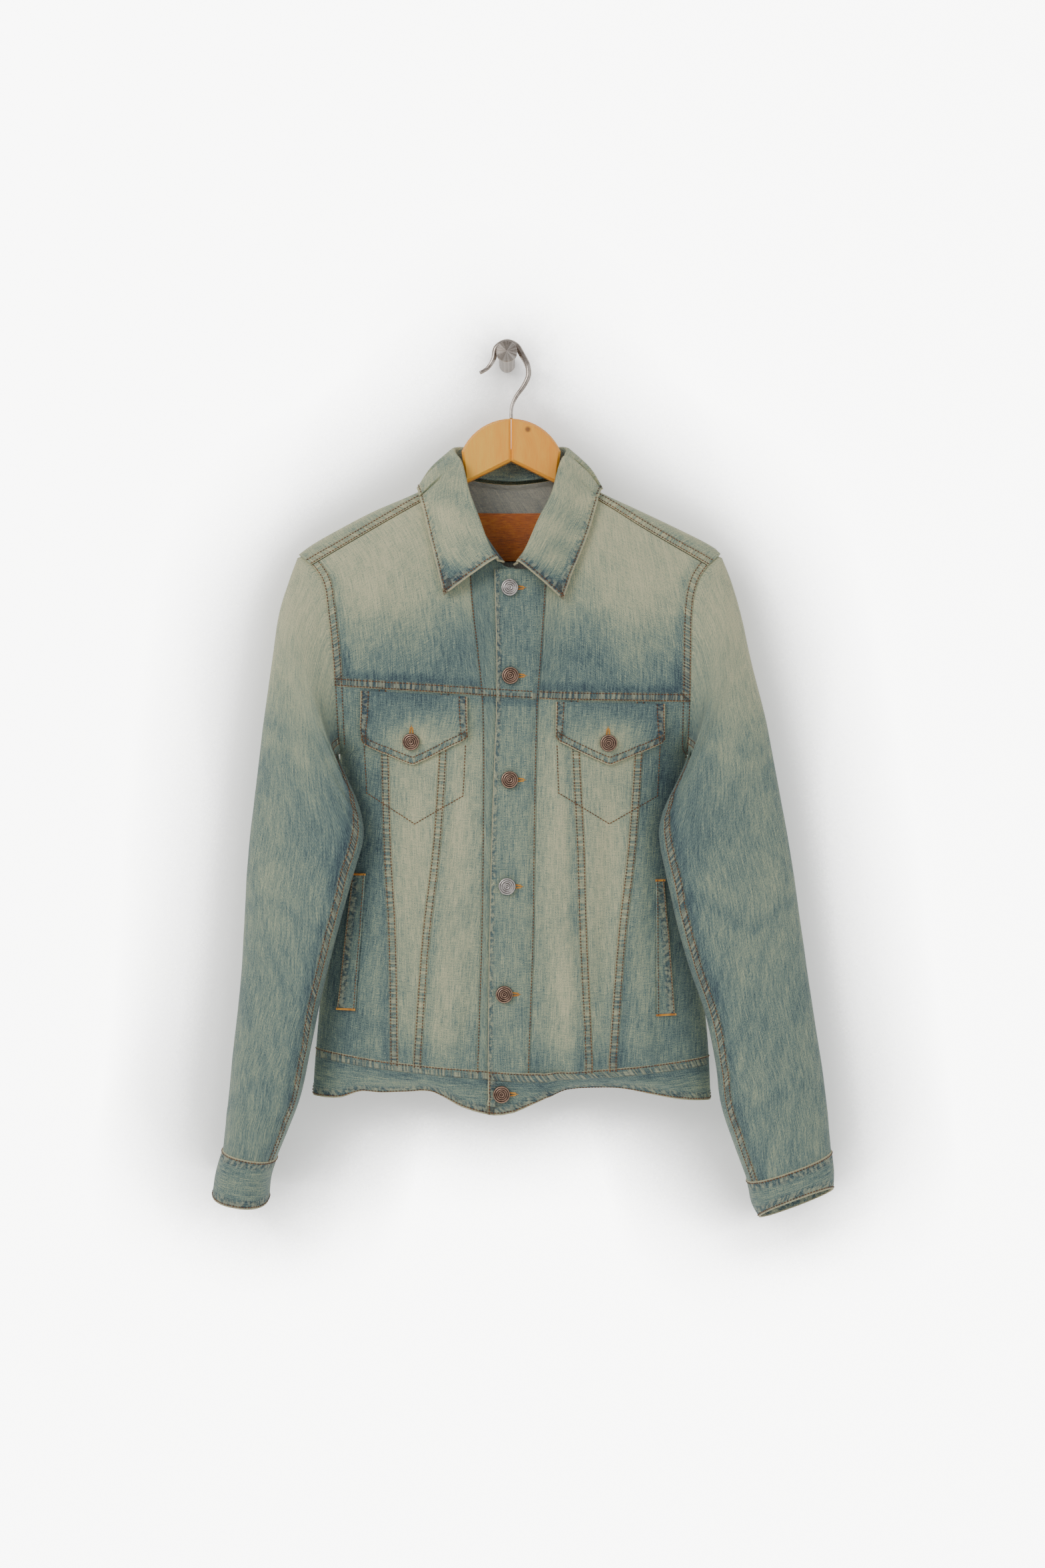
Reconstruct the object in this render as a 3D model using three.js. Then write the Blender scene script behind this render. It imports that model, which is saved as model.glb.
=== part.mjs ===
// A denim jacket on a wooden hanger, hung from a round wall peg.
// Millimetres, +Z up. The origin is the centre of the peg's back face, the wall is the plane y = 0,
// and the jacket faces -Y. Left and right are as seen from the front.
import * as THREE from "three";

// Cloth
const CLOTH = 1.6; // one layer of denim with its seams
const STRIP = 2; // a folded strip: waistband, placket, collar, flap, cuff
const SEAM_GAP = 0.3;
const LAY_GAP = 0.8; // between a piece and the panel that it lies on

// Where the jacket hangs
const HANG_Y = -45; // plane of the hanger, and of the shoulder ridge over it
const CENTRE_X = 4.5;
const UNDERARM_Z = -405;
const CHEST_TO_RIDGE = 70; // how quickly the cloth falls to its full depth below the ridge
const SIDE_POWER = 2.4; // roundness of the side folds: 2 is an ellipse
const SIDE_SET_BACK = 14; // the side folds lie this far behind the hanger's plane
const ARMHOLE_FILL = 1.1; // how fast the held armhole opens the sides above the underarm
const ARMHOLE_FILL_MORE = 0.012;

// Buttons
const BUTTON_RADIUS = 8.7;
const BUTTON_HEIGHT = 4.2;
const SHANK_RADIUS = 4;

// Hanger, hook and peg
const BOARD_THICKNESS = 12;
const BOARD_UNDER_RIDGE = 4.8;
const HEAD_RADIUS = 54.5;
const HEAD_CENTRE_Z = -120;
const HEAD_ARC = 1.16; // radians from the top of the head down to its neck
const NECK_HALF_WIDTH = 47;
const NECK_EASE = 5; // the arms start this much lower under the neck seam
const BOARD_UNDERSIDE_Z = -108;
const BOARD_UNDERSIDE_SLOPE = 0.495;
const BOARD_END_X = 202;
const PEG_RADIUS = 8.3;
const KNOB_RADIUS = 10.6;
const KNOB_BACK_Y = -54;
const KNOB_FRONT_Y = -62;

const RIDGE = [
  { x: -214, z: -205 },
  { x: -198, z: -193.3 },
  { x: -175, z: -180 },
  { x: -137, z: -160 },
  { x: -89, z: -139 },
  { x: -58, z: -121 },
  { x: -25, z: -117 },
  { x: 34, z: -117 },
  { x: 67, z: -121 },
  { x: 92, z: -138 },
  { x: 133, z: -157.5 },
  { x: 171, z: -175.5 },
  { x: 210, z: -195.5 },
  { x: 219, z: -204 },
];

// Where each armhole seam runs, seen from the front.
const ARMHOLE = [
  { z: -203, left: -211.3, right: 216.9 },
  { z: -216, left: -196, right: 203 },
  { z: -233, left: -185, right: 192.5 },
  { z: -260, left: -180, right: 187 },
  { z: -310, left: -174.5, right: 185.5 },
  { z: -350, left: -172, right: 185 },
  { z: -405, left: -170, right: 184 },
];

// The side folds of the body, and its depth in front of and behind the hanger's plane.
const BODY = [
  { z: -120, left: -170, right: 184, front: 30, back: 27 },
  { z: -405, left: -170, right: 184, front: 33, back: 31 },
  { z: -475, left: -173.5, right: 187.5, front: 35, back: 32 },
  { z: -560, left: -181, right: 193, front: 36, back: 33 },
  { z: -640, left: -189.5, right: 200, front: 37, back: 33 },
  { z: -704, left: -195, right: 206, front: 39, back: 34 },
  { z: -775, left: -200, right: 209, front: 39, back: 34 },
];

// Seams that run up and down the fronts.
const FRONT_SEAMS = [
  { z: -165, placket_left: -38, placket_right: 42 },
  { z: -241, placket_left: -36, placket_right: 40 },
  { z: -303, placket_left: -29.5, placket_right: 36 },
  { z: -361, placket_left: -24.5, placket_right: 32 },
  { z: -499, placket_left: -24.5, placket_right: 29 },
  { z: -587, placket_left: -26, placket_right: 28 },
  { z: -716, placket_left: -30, placket_right: 23.5 },
];
const DART_SEAMS = [
  { z: -340, left_outer: -120, left_inner: -66, right_inner: 72, right_outer: 130 },
  { z: -408, left_outer: -118, left_inner: -68, right_inner: 74, right_outer: 128 },
  { z: -499, left_outer: -115.5, left_inner: -74, right_inner: 78.5, right_outer: 121.5 },
  { z: -587, left_outer: -110.5, left_inner: -84.5, right_inner: 81, right_outer: 111.5 },
  { z: -712, left_outer: -108, left_inner: -93.5, right_inner: 86.5, right_outer: 102 },
];
const OVERLAP_EDGE = [
  { z: -222, x: -12 },
  { z: -338, x: -10 },
  { z: -479, x: -14.5 },
  { z: -645, x: -18 },
  { z: -764, x: -18.5 },
];

// Seams and edges that run across.
const NECK_FRONT = [
  { x: -62, z: -138 },
  { x: -50, z: -147 },
  { x: -38, z: -164 },
  { x: -28, z: -182 },
  { x: -14, z: -203 },
  { x: -3, z: -217 },
  { x: 12, z: -218 },
  { x: 23, z: -204 },
  { x: 37, z: -182 },
  { x: 47, z: -164 },
  { x: 59, z: -147 },
  { x: 71, z: -138 },
];
const FORWARD_SEAM = [
  { x: -197, z: -214.5 },
  { x: -137, z: -179 },
  { x: -89, z: -151.5 },
  { x: -62, z: -138 },
  { x: 71, z: -138 },
  { x: 98, z: -151.5 },
  { x: 140, z: -178 },
  { x: 204, z: -215.5 },
];
const YOKE_SEAM = [
  { x: -175, z: -338 },
  { x: -37, z: -347 },
  { x: 49, z: -352 },
  { x: 187, z: -354 },
];
const WAIST_SEAM = [
  { x: -196, z: -704 },
  { x: -115, z: -714 },
  { x: -21, z: -721 },
  { x: 29, z: -723.5 },
  { x: 125, z: -719 },
  { x: 207, z: -712 },
];
// The lower edge of the waistband, and how far it rolls under.
const HEM = [
  { x: -200, z: -753, tuck: 0 },
  { x: -168, z: -753, tuck: 4 },
  { x: -147, z: -747, tuck: 14 },
  { x: -127, z: -748, tuck: 17 },
  { x: -101, z: -746.5, tuck: 18 },
  { x: -77, z: -745, tuck: 15 },
  { x: -62, z: -749.5, tuck: 6 },
  { x: -44, z: -758, tuck: 0 },
  { x: -15, z: -765, tuck: -3 },
  { x: 6, z: -763, tuck: -2 },
  { x: 37, z: -749, tuck: 6 },
  { x: 55, z: -743.5, tuck: 14 },
  { x: 90, z: -742, tuck: 19 },
  { x: 119, z: -743.5, tuck: 16 },
  { x: 149, z: -749.5, tuck: 8 },
  { x: 178, z: -755, tuck: 3 },
  { x: 209, z: -758, tuck: 0 },
];
const BACK_NECK = [
  { x: -66, q: -17 },
  { x: -59, q: -5 },
  { x: -52, q: 7 },
  { x: -36, q: 17 },
  { x: 4.5, q: 25 },
  { x: 45, q: 17 },
  { x: 61, q: 7 },
  { x: 68, q: -5 },
  { x: 75, q: -17 },
];
const BACK_YOKE_SEAM_Z = -322;
const BACK_SEAMS = [
  { z: BACK_YOKE_SEAM_Z, left: -98, right: 107 },
  { z: -520, left: -78, right: 87 },
  { z: -712, left: -66, right: 75 },
];
const BACK_WAIST = [
  { x: -196, z: -704 },
  { x: 4.5, z: -709 },
  { x: 207, z: -712 },
];
const BACK_HEM = [
  { x: -200, z: -745 },
  { x: 4.5, z: -746 },
  { x: 209, z: -752 },
];

// Soft folds in the fronts and the back: a ridge where rise is positive, a hollow where it is negative.
// lean is how far the fold drifts sideways for each millimetre downwards.
const FRONT_FOLDS = [
  { x: -150, z: -470, long: 80, wide: 11, lean: 0.1, rise: 3 },
  { x: -97, z: -590, long: 120, wide: 12, lean: 0.04, rise: -3.5 },
  { x: -62, z: -470, long: 90, wide: 10, lean: -0.12, rise: 3 },
  { x: -48, z: -620, long: 95, wide: 12, lean: -0.1, rise: 3.5 },
  { x: -140, z: -650, long: 60, wide: 12, lean: 0.12, rise: 3 },
  { x: 52, z: -450, long: 100, wide: 11, lean: 0.03, rise: 2.5 },
  { x: 62, z: -640, long: 80, wide: 13, lean: 0.08, rise: 3.5 },
  { x: 100, z: -580, long: 125, wide: 12, lean: -0.06, rise: -3.5 },
  { x: 138, z: -500, long: 85, wide: 11, lean: -0.08, rise: 3 },
  { x: 140, z: -670, long: 50, wide: 13, lean: -0.1, rise: 3 },
  { x: -120, z: -275, long: 55, wide: 14, lean: 0.25, rise: 2 },
  { x: 125, z: -280, long: 60, wide: 14, lean: -0.2, rise: 2 },
];
const BACK_FOLDS = [
  { x: -130, z: -560, long: 110, wide: 14, lean: 0.08, rise: -3 },
  { x: -30, z: -600, long: 130, wide: 13, lean: -0.04, rise: -2.5 },
  { x: 46, z: -540, long: 100, wide: 14, lean: 0.05, rise: -3 },
  { x: 140, z: -600, long: 115, wide: 13, lean: -0.08, rise: -3 },
  { x: -70, z: -250, long: 50, wide: 15, lean: 0.4, rise: -2.5 },
  { x: 85, z: -255, long: 55, wide: 15, lean: -0.4, rise: -2.5 },
];

// One row for each ring of a sleeve, from the armhole to the cuff seam: its outer and inner point, and how
// far the ring stands in front of and behind the line between them.
const SLEEVE_LEFT = [
  { along: 0, ox: -211.3, oy: -45, oz: -203, ix: -170, iy: -38, iz: -405, front: 31, back: 27 },
  { along: 1, ox: -221, oy: -46, oz: -230, ix: -172.5, iy: -55, iz: -411, front: 28, back: 16 },
  { along: 2, ox: -231, oy: -47, oz: -264, ix: -163, iy: -68, iz: -426, front: 26, back: 15 },
  { along: 3, ox: -238, oy: -48, oz: -312, ix: -148.5, iy: -73, iz: -455, front: 26, back: 18 },
  { along: 4, ox: -246, oy: -49, oz: -372, ix: -143, iy: -76, iz: -477, front: 26, back: 20 },
  { along: 5, ox: -253.5, oy: -50, oz: -434, ix: -143.5, iy: -77, iz: -494, front: 26, back: 20 },
  { along: 6, ox: -259.5, oy: -51, oz: -484, ix: -150, iy: -78, iz: -517, front: 27, back: 20 },
  { along: 7, ox: -263, oy: -52, oz: -533, ix: -160, iy: -78, iz: -552, front: 28, back: 21 },
  { along: 8, ox: -265.5, oy: -53, oz: -582, ix: -172, iy: -77, iz: -596, front: 29, back: 23 },
  { along: 9, ox: -268.5, oy: -54, oz: -632, ix: -183.5, iy: -75, iz: -641, front: 31, back: 25 },
  { along: 10, ox: -274, oy: -55, oz: -690, ix: -196, iy: -72, iz: -700, front: 35, back: 28 },
  { along: 11, ox: -279.5, oy: -56, oz: -745, ix: -208.5, iy: -67, iz: -754, front: 39, back: 34 },
  { along: 12, ox: -285.3, oy: -57, oz: -803.5, ix: -232.5, iy: -61, iz: -814, front: 43, back: 40 },
];
const SLEEVE_RIGHT = [
  { along: 0, ox: 216.9, oy: -45, oz: -203, ix: 184, iy: -38, iz: -405, front: 31, back: 27 },
  { along: 1, ox: 228, oy: -46, oz: -231, ix: 187, iy: -56, iz: -411, front: 27, back: 14 },
  { along: 2, ox: 238, oy: -47, oz: -266, ix: 176, iy: -70, iz: -428, front: 25, back: 14 },
  { along: 3, ox: 248, oy: -48, oz: -312, ix: 159, iy: -74, iz: -457, front: 26, back: 17 },
  { along: 4, ox: 262, oy: -49, oz: -369, ix: 152.5, iy: -76, iz: -479, front: 26, back: 20 },
  { along: 5, ox: 273, oy: -50, oz: -426, ix: 153.5, iy: -77, iz: -498, front: 26, back: 20 },
  { along: 6, ox: 283, oy: -51, oz: -480, ix: 158.5, iy: -78, iz: -523, front: 27, back: 20 },
  { along: 7, ox: 291, oy: -52, oz: -533, ix: 168, iy: -78, iz: -566, front: 28, back: 21 },
  { along: 8, ox: 299, oy: -53, oz: -590, ix: 181.5, iy: -77, iz: -616, front: 28, back: 23 },
  { along: 9, ox: 307, oy: -54, oz: -646, ix: 198.5, iy: -75, iz: -665, front: 29, back: 24 },
  { along: 10, ox: 314.5, oy: -55, oz: -698, ix: 209.5, iy: -72, iz: -716, front: 30, back: 25 },
  { along: 11, ox: 321.5, oy: -56, oz: -746, ix: 217, iy: -68, iz: -764, front: 31, back: 28 },
  { along: 12, ox: 327.3, oy: -57, oz: -807, ix: 243, iy: -62, iz: -837, front: 32, back: 31 },
];
// Cuffs: the first row is at the seam. tip leans the ring, so that its front edge stands higher.
const CUFF_LEFT = [
  { along: 0, ox: -286.3, oy: -57, oz: -803.5, ix: -232, iy: -61, iz: -814, front: 44, back: 41, tip: 0 },
  { along: 1, ox: -292.5, oy: -57, oz: -825, ix: -238, iy: -60, iz: -834, front: 45, back: 42, tip: 0.03 },
  { along: 2, ox: -296, oy: -57, oz: -847, ix: -240, iy: -60, iz: -856, front: 44, back: 42, tip: 0.07 },
];
const CUFF_RIGHT = [
  { along: 0, ox: 328, oy: -57, oz: -807, ix: 242.5, iy: -62, iz: -837, front: 33, back: 32, tip: 0 },
  { along: 1, ox: 330, oy: -57, oz: -826, ix: 247, iy: -61, iz: -858, front: 34, back: 33, tip: -0.18 },
  { along: 2, ox: 329.5, oy: -57, oz: -846, ix: 255, iy: -60, iz: -872, front: 34, back: 33, tip: -0.36 },
];

// The collar, from its left point round the back of the neck to its right point. fold is the line that it
// turns over at, edge is its outer edge, lying on the front (side -1) or the back (side 1).
const COLLAR = [
  { foldX: -9, foldY: -88, foldZ: -212, edgeX: -62, edgeZ: -248, side: -1, lift: 6 },
  { foldX: -18, foldY: -86, foldZ: -199, edgeX: -68, edgeZ: -222, side: -1, lift: 5 },
  { foldX: -29, foldY: -79, foldZ: -169, edgeX: -76, edgeZ: -190, side: -1, lift: 4 },
  { foldX: -39, foldY: -70, foldZ: -141, edgeX: -82, edgeZ: -165, side: -1, lift: 4 },
  { foldX: -46, foldY: -60, foldZ: -113, edgeX: -87, edgeZ: -146, side: -1, lift: 4 },
  { foldX: -54, foldY: -46, foldZ: -98, edgeX: -88, edgeZ: -139, side: 1, lift: 5 },
  { foldX: -50, foldY: -33, foldZ: -93, edgeX: -80, edgeZ: -147, side: 1, lift: 4 },
  { foldX: -36, foldY: -23, foldZ: -92, edgeX: -62, edgeZ: -157, side: 1, lift: 4 },
  { foldX: -17, foldY: -17, foldZ: -92, edgeX: -33, edgeZ: -164, side: 1, lift: 4 },
  { foldX: 4.5, foldY: -15.5, foldZ: -92, edgeX: 4.5, edgeZ: -166, side: 1, lift: 4 },
  { foldX: 27, foldY: -17, foldZ: -92, edgeX: 43, edgeZ: -164, side: 1, lift: 4 },
  { foldX: 45, foldY: -23, foldZ: -92, edgeX: 71, edgeZ: -157, side: 1, lift: 4 },
  { foldX: 58, foldY: -33, foldZ: -93, edgeX: 89, edgeZ: -147, side: 1, lift: 4 },
  { foldX: 62, foldY: -46, foldZ: -98, edgeX: 93, edgeZ: -139, side: 1, lift: 5 },
  { foldX: 55, foldY: -60, foldZ: -113, edgeX: 92, edgeZ: -146, side: -1, lift: 4 },
  { foldX: 46, foldY: -70, foldZ: -145, edgeX: 87, edgeZ: -165, side: -1, lift: 4 },
  { foldX: 33, foldY: -79, foldZ: -172, edgeX: 79, edgeZ: -191, side: -1, lift: 4 },
  { foldX: 20, foldY: -86, foldZ: -202, edgeX: 65, edgeZ: -226, side: -1, lift: 6 },
  { foldX: 11, foldY: -88, foldZ: -215, edgeX: 56, edgeZ: -252.5, side: -1, lift: 7 },
];
const COLLAR_FOLD_WIDTH = 5.5;

const FLAPS = {
  left: [
    { x: -146, top: -342.5, bottom: -391 },
    { x: -143, top: -342.5, bottom: -396 },
    { x: -93.5, top: -345.5, bottom: -417.5 },
    { x: -43, top: -348.5, bottom: -393 },
    { x: -39, top: -349, bottom: -389 },
  ],
  right: [
    { x: 49, top: -354, bottom: -389 },
    { x: 52, top: -354, bottom: -394 },
    { x: 103, top: -355, bottom: -417.5 },
    { x: 155, top: -355.5, bottom: -395 },
    { x: 158.5, top: -355.5, bottom: -390 },
  ],
};
const WELTS = {
  left: [
    { z: -526, outer: -155, inner: -141.5 },
    { z: -595, outer: -163, inner: -146.5 },
    { z: -663, outer: -170.5, inner: -151.5 },
  ],
  right: [
    { z: -532, outer: 158, inner: 149.5 },
    { z: -600, outer: 164, inner: 150 },
    { z: -669, outer: 169, inner: 150 },
  ],
};
const PATCH = { left: -31, right: 40, top: -158, bottom: -207 };

const BUTTONS = [
  { name: "button_1", x: 3.3, z: -240, lift: 2.9 },
  { name: "button_2", x: 4, z: -328, lift: 2.9 },
  { name: "button_3", x: 3.3, z: -432, lift: 2.9 },
  { name: "button_4", x: 0.7, z: -538, lift: 2.9 },
  { name: "button_5", x: -2, z: -645.3, lift: 2.9 },
  { name: "button_6", x: -4.7, z: -744, lift: 2.5 },
  { name: "flap_button_left", x: -94.7, z: -393.3, lift: 3.7 },
  { name: "flap_button_right", x: 101.3, z: -394.7, lift: 3.7 },
];

// The hook's wire, from its free tip over the peg and down to the hanger's head.
const HOOK = [
  { x: -27.3, z: -18.5, radius: 1.8 },
  { x: -19.5, z: -13.5, radius: 2 },
  { x: -13.6, z: -4.5, radius: 2.6 },
  { x: -10.4, z: 7.4, radius: 3 },
  { x: -0.5, z: 12.7, radius: 3.4 },
  { x: 9.4, z: 9.4, radius: 3.2 },
  { x: 15.8, z: -0.5, radius: 3.1 },
  { x: 21, z: -10.5, radius: 2.9 },
  { x: 22, z: -21, radius: 2.7 },
  { x: 17, z: -32, radius: 2.4 },
  { x: 9.8, z: -42, radius: 2.1 },
  { x: 5.6, z: -51, radius: 1.8 },
  { x: 4.5, z: -58, radius: 1.75 },
  { x: 4.5, z: -65, radius: 1.75 },
];

const MATERIALS = {
  denim: new THREE.MeshStandardMaterial({ color: 0x8698a0, roughness: 0.9, metalness: 0 }),
  yoke: new THREE.MeshStandardMaterial({ color: 0xaab0a4, roughness: 0.9, metalness: 0 }),
  edge: new THREE.MeshStandardMaterial({ color: 0x6d808c, roughness: 0.9, metalness: 0 }),
  patch: new THREE.MeshStandardMaterial({ color: 0xb4672a, roughness: 0.7, metalness: 0 }),
  copper: new THREE.MeshStandardMaterial({ color: 0x5a4033, roughness: 0.45, metalness: 1 }),
  beech: new THREE.MeshStandardMaterial({ color: 0xd9a45f, roughness: 0.5, metalness: 0 }),
  steel: new THREE.MeshStandardMaterial({ color: 0x9a9188, roughness: 0.3, metalness: 1 }),
};

const jacket = new THREE.Group();
const vector = (x, y, z) => new THREE.Vector3(x, y, z);
const mix = THREE.MathUtils.lerp;
const smooth = THREE.MathUtils.smoothstep;

function place(name, geometry, material) {
  const mesh = new THREE.Mesh(geometry, material);
  mesh.name = name;
  jacket.add(mesh);
}

// A smooth function through one column of a table, looked up by another that only rises or only falls.
function track(rows, by, column) {
  const ordered = [...rows].sort((a, b) => a[by] - b[by]);
  const at = ordered.map((row) => row[by]);
  const value = ordered.map((row) => row[column]);
  const last = at.length - 1;
  const slope = at.map((_, i) => {
    const [from, to] = [Math.max(i - 1, 0), Math.min(i + 1, last)];
    return (value[to] - value[from]) / (at[to] - at[from]);
  });
  return (where) => {
    const w = THREE.MathUtils.clamp(where, at[0], at[last]);
    let i = 0;
    while (i < last - 1 && w > at[i + 1]) i += 1;
    const step = at[i + 1] - at[i];
    const t = (w - at[i]) / step;
    const rise = value[i + 1] - value[i];
    const [startSlope, endSlope] = [slope[i] * step, slope[i + 1] * step];
    const bend = startSlope * (1 - t) - endSlope * t + rise * (2 * t - 1);
    return value[i] + rise * t + t * (1 - t) * bend;
  };
}

const ridgeZ = track(RIDGE, "x", "z");
const armhole = { left: track(ARMHOLE, "z", "left"), right: track(ARMHOLE, "z", "right") };
const side = { left: track(BODY, "z", "left"), right: track(BODY, "z", "right") };
const depth = { front: track(BODY, "z", "front"), back: track(BODY, "z", "back") };
const neckFront = track(NECK_FRONT, "x", "z");
const forwardSeam = track(FORWARD_SEAM, "x", "z");
const yokeSeam = track(YOKE_SEAM, "x", "z");
const waistSeam = track(WAIST_SEAM, "x", "z");
const hem = track(HEM, "x", "z");
const hemTuck = track(HEM, "x", "tuck");
const backNeck = track(BACK_NECK, "x", "q");
const backWaist = track(BACK_WAIST, "x", "z");
const backHem = track(BACK_HEM, "x", "z");
const overlapEdge = track(OVERLAP_EDGE, "z", "x");

// The cloth over the ridge is a half round. It is fuller at the neck than out on the arms.
function ridgeRadius(x) {
  return 9.5 + 13 * Math.exp(-(((x - CENTRE_X) / 52) ** 2));
}

function halfWidth(x, z) {
  const edge = x < CENTRE_X ? CENTRE_X - side.left(z) : side.right(z) - CENTRE_X;
  const above = Math.max(z - UNDERARM_Z, 0);
  return edge + ARMHOLE_FILL * above + ARMHOLE_FILL_MORE * above ** 2;
}

// A turn round the body is an angle: 0 at the left fold, half a turn at the right one, and negative behind.
function xAtTurn(turn, z) {
  const c = -Math.cos(turn);
  const u = Math.sign(c) * Math.abs(c) ** (2 / SIDE_POWER);
  const probe = c < 0 ? CENTRE_X - 1 : CENTRE_X + 1;
  return CENTRE_X + u * halfWidth(probe, z);
}
function turnAtX(x, z) {
  const u = THREE.MathUtils.clamp((x - CENTRE_X) / halfWidth(x, z), -1, 1);
  return Math.acos(-Math.sign(u) * Math.abs(u) ** (SIDE_POWER / 2));
}

function foldRise(folds, x, z) {
  return folds.reduce((sum, fold) => {
    const across = (x - fold.x - fold.lean * (fold.z - z)) / fold.wide;
    const down = (z - fold.z) / fold.long;
    return sum + fold.rise * Math.exp(-(across ** 2) - down ** 4);
  }, 0);
}

// A point of the body's cloth at a turn and a height.
function bodyAt(turn, z) {
  const behind = Math.sin(turn) < 0;
  const x = xAtTurn(turn, z);
  const round = Math.abs(Math.sin(turn)) ** (2 / SIDE_POWER);
  const u = (x - CENTRE_X) / halfWidth(x, z);
  const setBack = SIDE_SET_BACK * u ** 2 * (1 - smooth(z, -470, -340));
  const r = ridgeRadius(x);
  const below = Math.max(ridgeZ(x) - z, 0);
  const overRidge = below < r ? Math.sqrt(r ** 2 - (r - below) ** 2) : r;
  const fall = below > r ? 1 - Math.exp((r - below) / CHEST_TO_RIDGE) : 0;
  const full = behind ? depth.back(z) : depth.front(z);
  const folds = foldRise(behind ? BACK_FOLDS : FRONT_FOLDS, x, z) * Math.min(round * 1.2, 1);
  const out = (overRidge + (full - r) * fall + folds) * round;
  return vector(x, HANG_Y + setBack + (behind ? out : -out), z);
}
const bodyOn = (x, z, sign) => bodyAt(-sign * turnAtX(x, z), z);

// A point by its path over the ridge: q is negative in front, positive behind, in millimetres of cloth.
function overRidgeAt(x, q) {
  const r = ridgeRadius(x);
  const quarter = (r * Math.PI) / 2;
  const path = Math.abs(q);
  const below = path < quarter ? r * (1 - Math.cos(path / r)) : r + path - quarter;
  return bodyOn(x, ridgeZ(x) - below, q < 0 ? -1 : 1);
}
function pathBelowRidge(x, z) {
  const r = ridgeRadius(x);
  const below = Math.max(ridgeZ(x) - z, 0);
  return below < r ? r * Math.acos(1 - below / r) : below - r + (r * Math.PI) / 2;
}

// The outward direction of a sheet that is a function of two numbers, both running from 0 to 1.
function normalOf(sheet, s, v, flip) {
  const e = 1e-3;
  const along = sheet(s + e, v).sub(sheet(s - e, v));
  const down = sheet(s, v + e).sub(sheet(s, v - e));
  return along.cross(down).normalize().multiplyScalar(flip);
}

// A closed wall: the sheet's outer points, the same points moved in by the thickness, and the edges between
// them. Edges that meet a neighbour are drawn back by half a seam gap. A ring has no side edges.
function wall(name, material, sheet, options) {
  const { columns, rows, thickness = CLOTH, flip = 1, lift = 0, ring = false } = options;
  const liftAt = typeof lift === "function" ? lift : () => lift;
  const sideways = ring ? columns : columns + 1;
  const outer = [];
  const inner = [];
  for (let i = 0; i <= rows; i += 1) {
    for (let j = 0; j < sideways; j += 1) {
      const [s, v] = [j / columns, i / rows];
      const n = options.normal ? options.normal(s, v) : normalOf(sheet, s, v, flip);
      const p = sheet(s, v).addScaledVector(n, liftAt(s, v));
      outer.push(p);
      inner.push(p.clone().addScaledVector(n, -thickness));
    }
  }
  const index = (i, j) => i * sideways + (j % sideways);
  for (const points of [outer, inner]) {
    const draw = (from, towards) => {
      const pull = points[towards].clone().sub(points[from]);
      points[from].addScaledVector(pull.normalize(), SEAM_GAP * 0.6);
    };
    for (let j = 0; j < sideways; j += 1) {
      draw(index(0, j), index(1, j));
      draw(index(rows, j), index(rows - 1, j));
    }
    if (!ring) {
      for (let i = 0; i <= rows; i += 1) {
        draw(index(i, 0), index(i, 1));
        draw(index(i, columns), index(i, columns - 1));
      }
    }
  }
  const half = outer.length;
  const faces = [];
  const quad = (a, b, c, d) => faces.push(a, b, c, a, c, d);
  for (let i = 0; i < rows; i += 1) {
    for (let j = 0; j < columns; j += 1) {
      const [a, b, c, d] = [index(i, j), index(i, j + 1), index(i + 1, j + 1), index(i + 1, j)];
      quad(a, b, c, d);
      quad(half + a, half + d, half + c, half + b);
    }
    if (!ring) {
      quad(index(i, 0), index(i + 1, 0), half + index(i + 1, 0), half + index(i, 0));
      const [top, low] = [index(i, columns), index(i + 1, columns)];
      quad(top, half + top, half + low, low);
    }
  }
  for (let j = 0; j < columns; j += 1) {
    const [a, b] = [index(0, j), index(0, j + 1)];
    quad(a, half + a, half + b, b);
    const [c, d] = [index(rows, j), index(rows, j + 1)];
    quad(c, d, half + d, half + c);
  }
  place(name, solid([...outer, ...inner], faces), material);
}

// An indexed geometry from points and faces, turned so that its faces point out.
function solid(points, faces) {
  let volume = 0;
  for (let i = 0; i < faces.length; i += 3) {
    const [a, b, c] = [points[faces[i]], points[faces[i + 1]], points[faces[i + 2]]];
    volume += a.dot(b.clone().cross(c));
  }
  if (volume < 0) {
    for (let i = 0; i < faces.length; i += 3) {
      [faces[i + 1], faces[i + 2]] = [faces[i + 2], faces[i + 1]];
    }
  }
  const geometry = new THREE.BufferGeometry().setFromPoints(points);
  geometry.setIndex(faces);
  geometry.computeVertexNormals();
  return geometry;
}

// A sheet of the body between two side lines x(z) and two cross lines z(x).
function bodyPatch(bounds, sign) {
  return (s, v) => {
    let x = 0.5 * (bounds.left(-400) + bounds.right(-400));
    let z = 0;
    for (let pass = 0; pass < 24; pass += 1) {
      z = mix(bounds.top(x), bounds.bottom(x), v);
      const turn = mix(turnAtX(bounds.left(z), z), turnAtX(bounds.right(z), z), s);
      x = 0.4 * x + 0.6 * xAtTurn(turn, z);
    }
    const turn = mix(turnAtX(bounds.left(z), z), turnAtX(bounds.right(z), z), s);
    return bodyAt(-sign * turn, z);
  };
}

const dart = (column) => track(DART_SEAMS, "z", column);
const placketSeam = {
  left: track(FRONT_SEAMS, "z", "placket_left"),
  right: track(FRONT_SEAMS, "z", "placket_right"),
};
// The outer edge of a front or back: the armhole, and the side fold below it.
const FOLD_EASE = 0.003; // keeps the two edges apart where the cloth runs straight back at a fold
const outerEdge = {
  left: (z) => (z > UNDERARM_Z ? armhole.left(z) : side.left(z) + FOLD_EASE),
  right: (z) => (z > UNDERARM_Z ? armhole.right(z) : side.right(z) - FOLD_EASE),
};
const yokeTop = (x) => (x < -62 || x > 71 ? forwardSeam(x) - 0.9 : neckFront(x));

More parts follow.
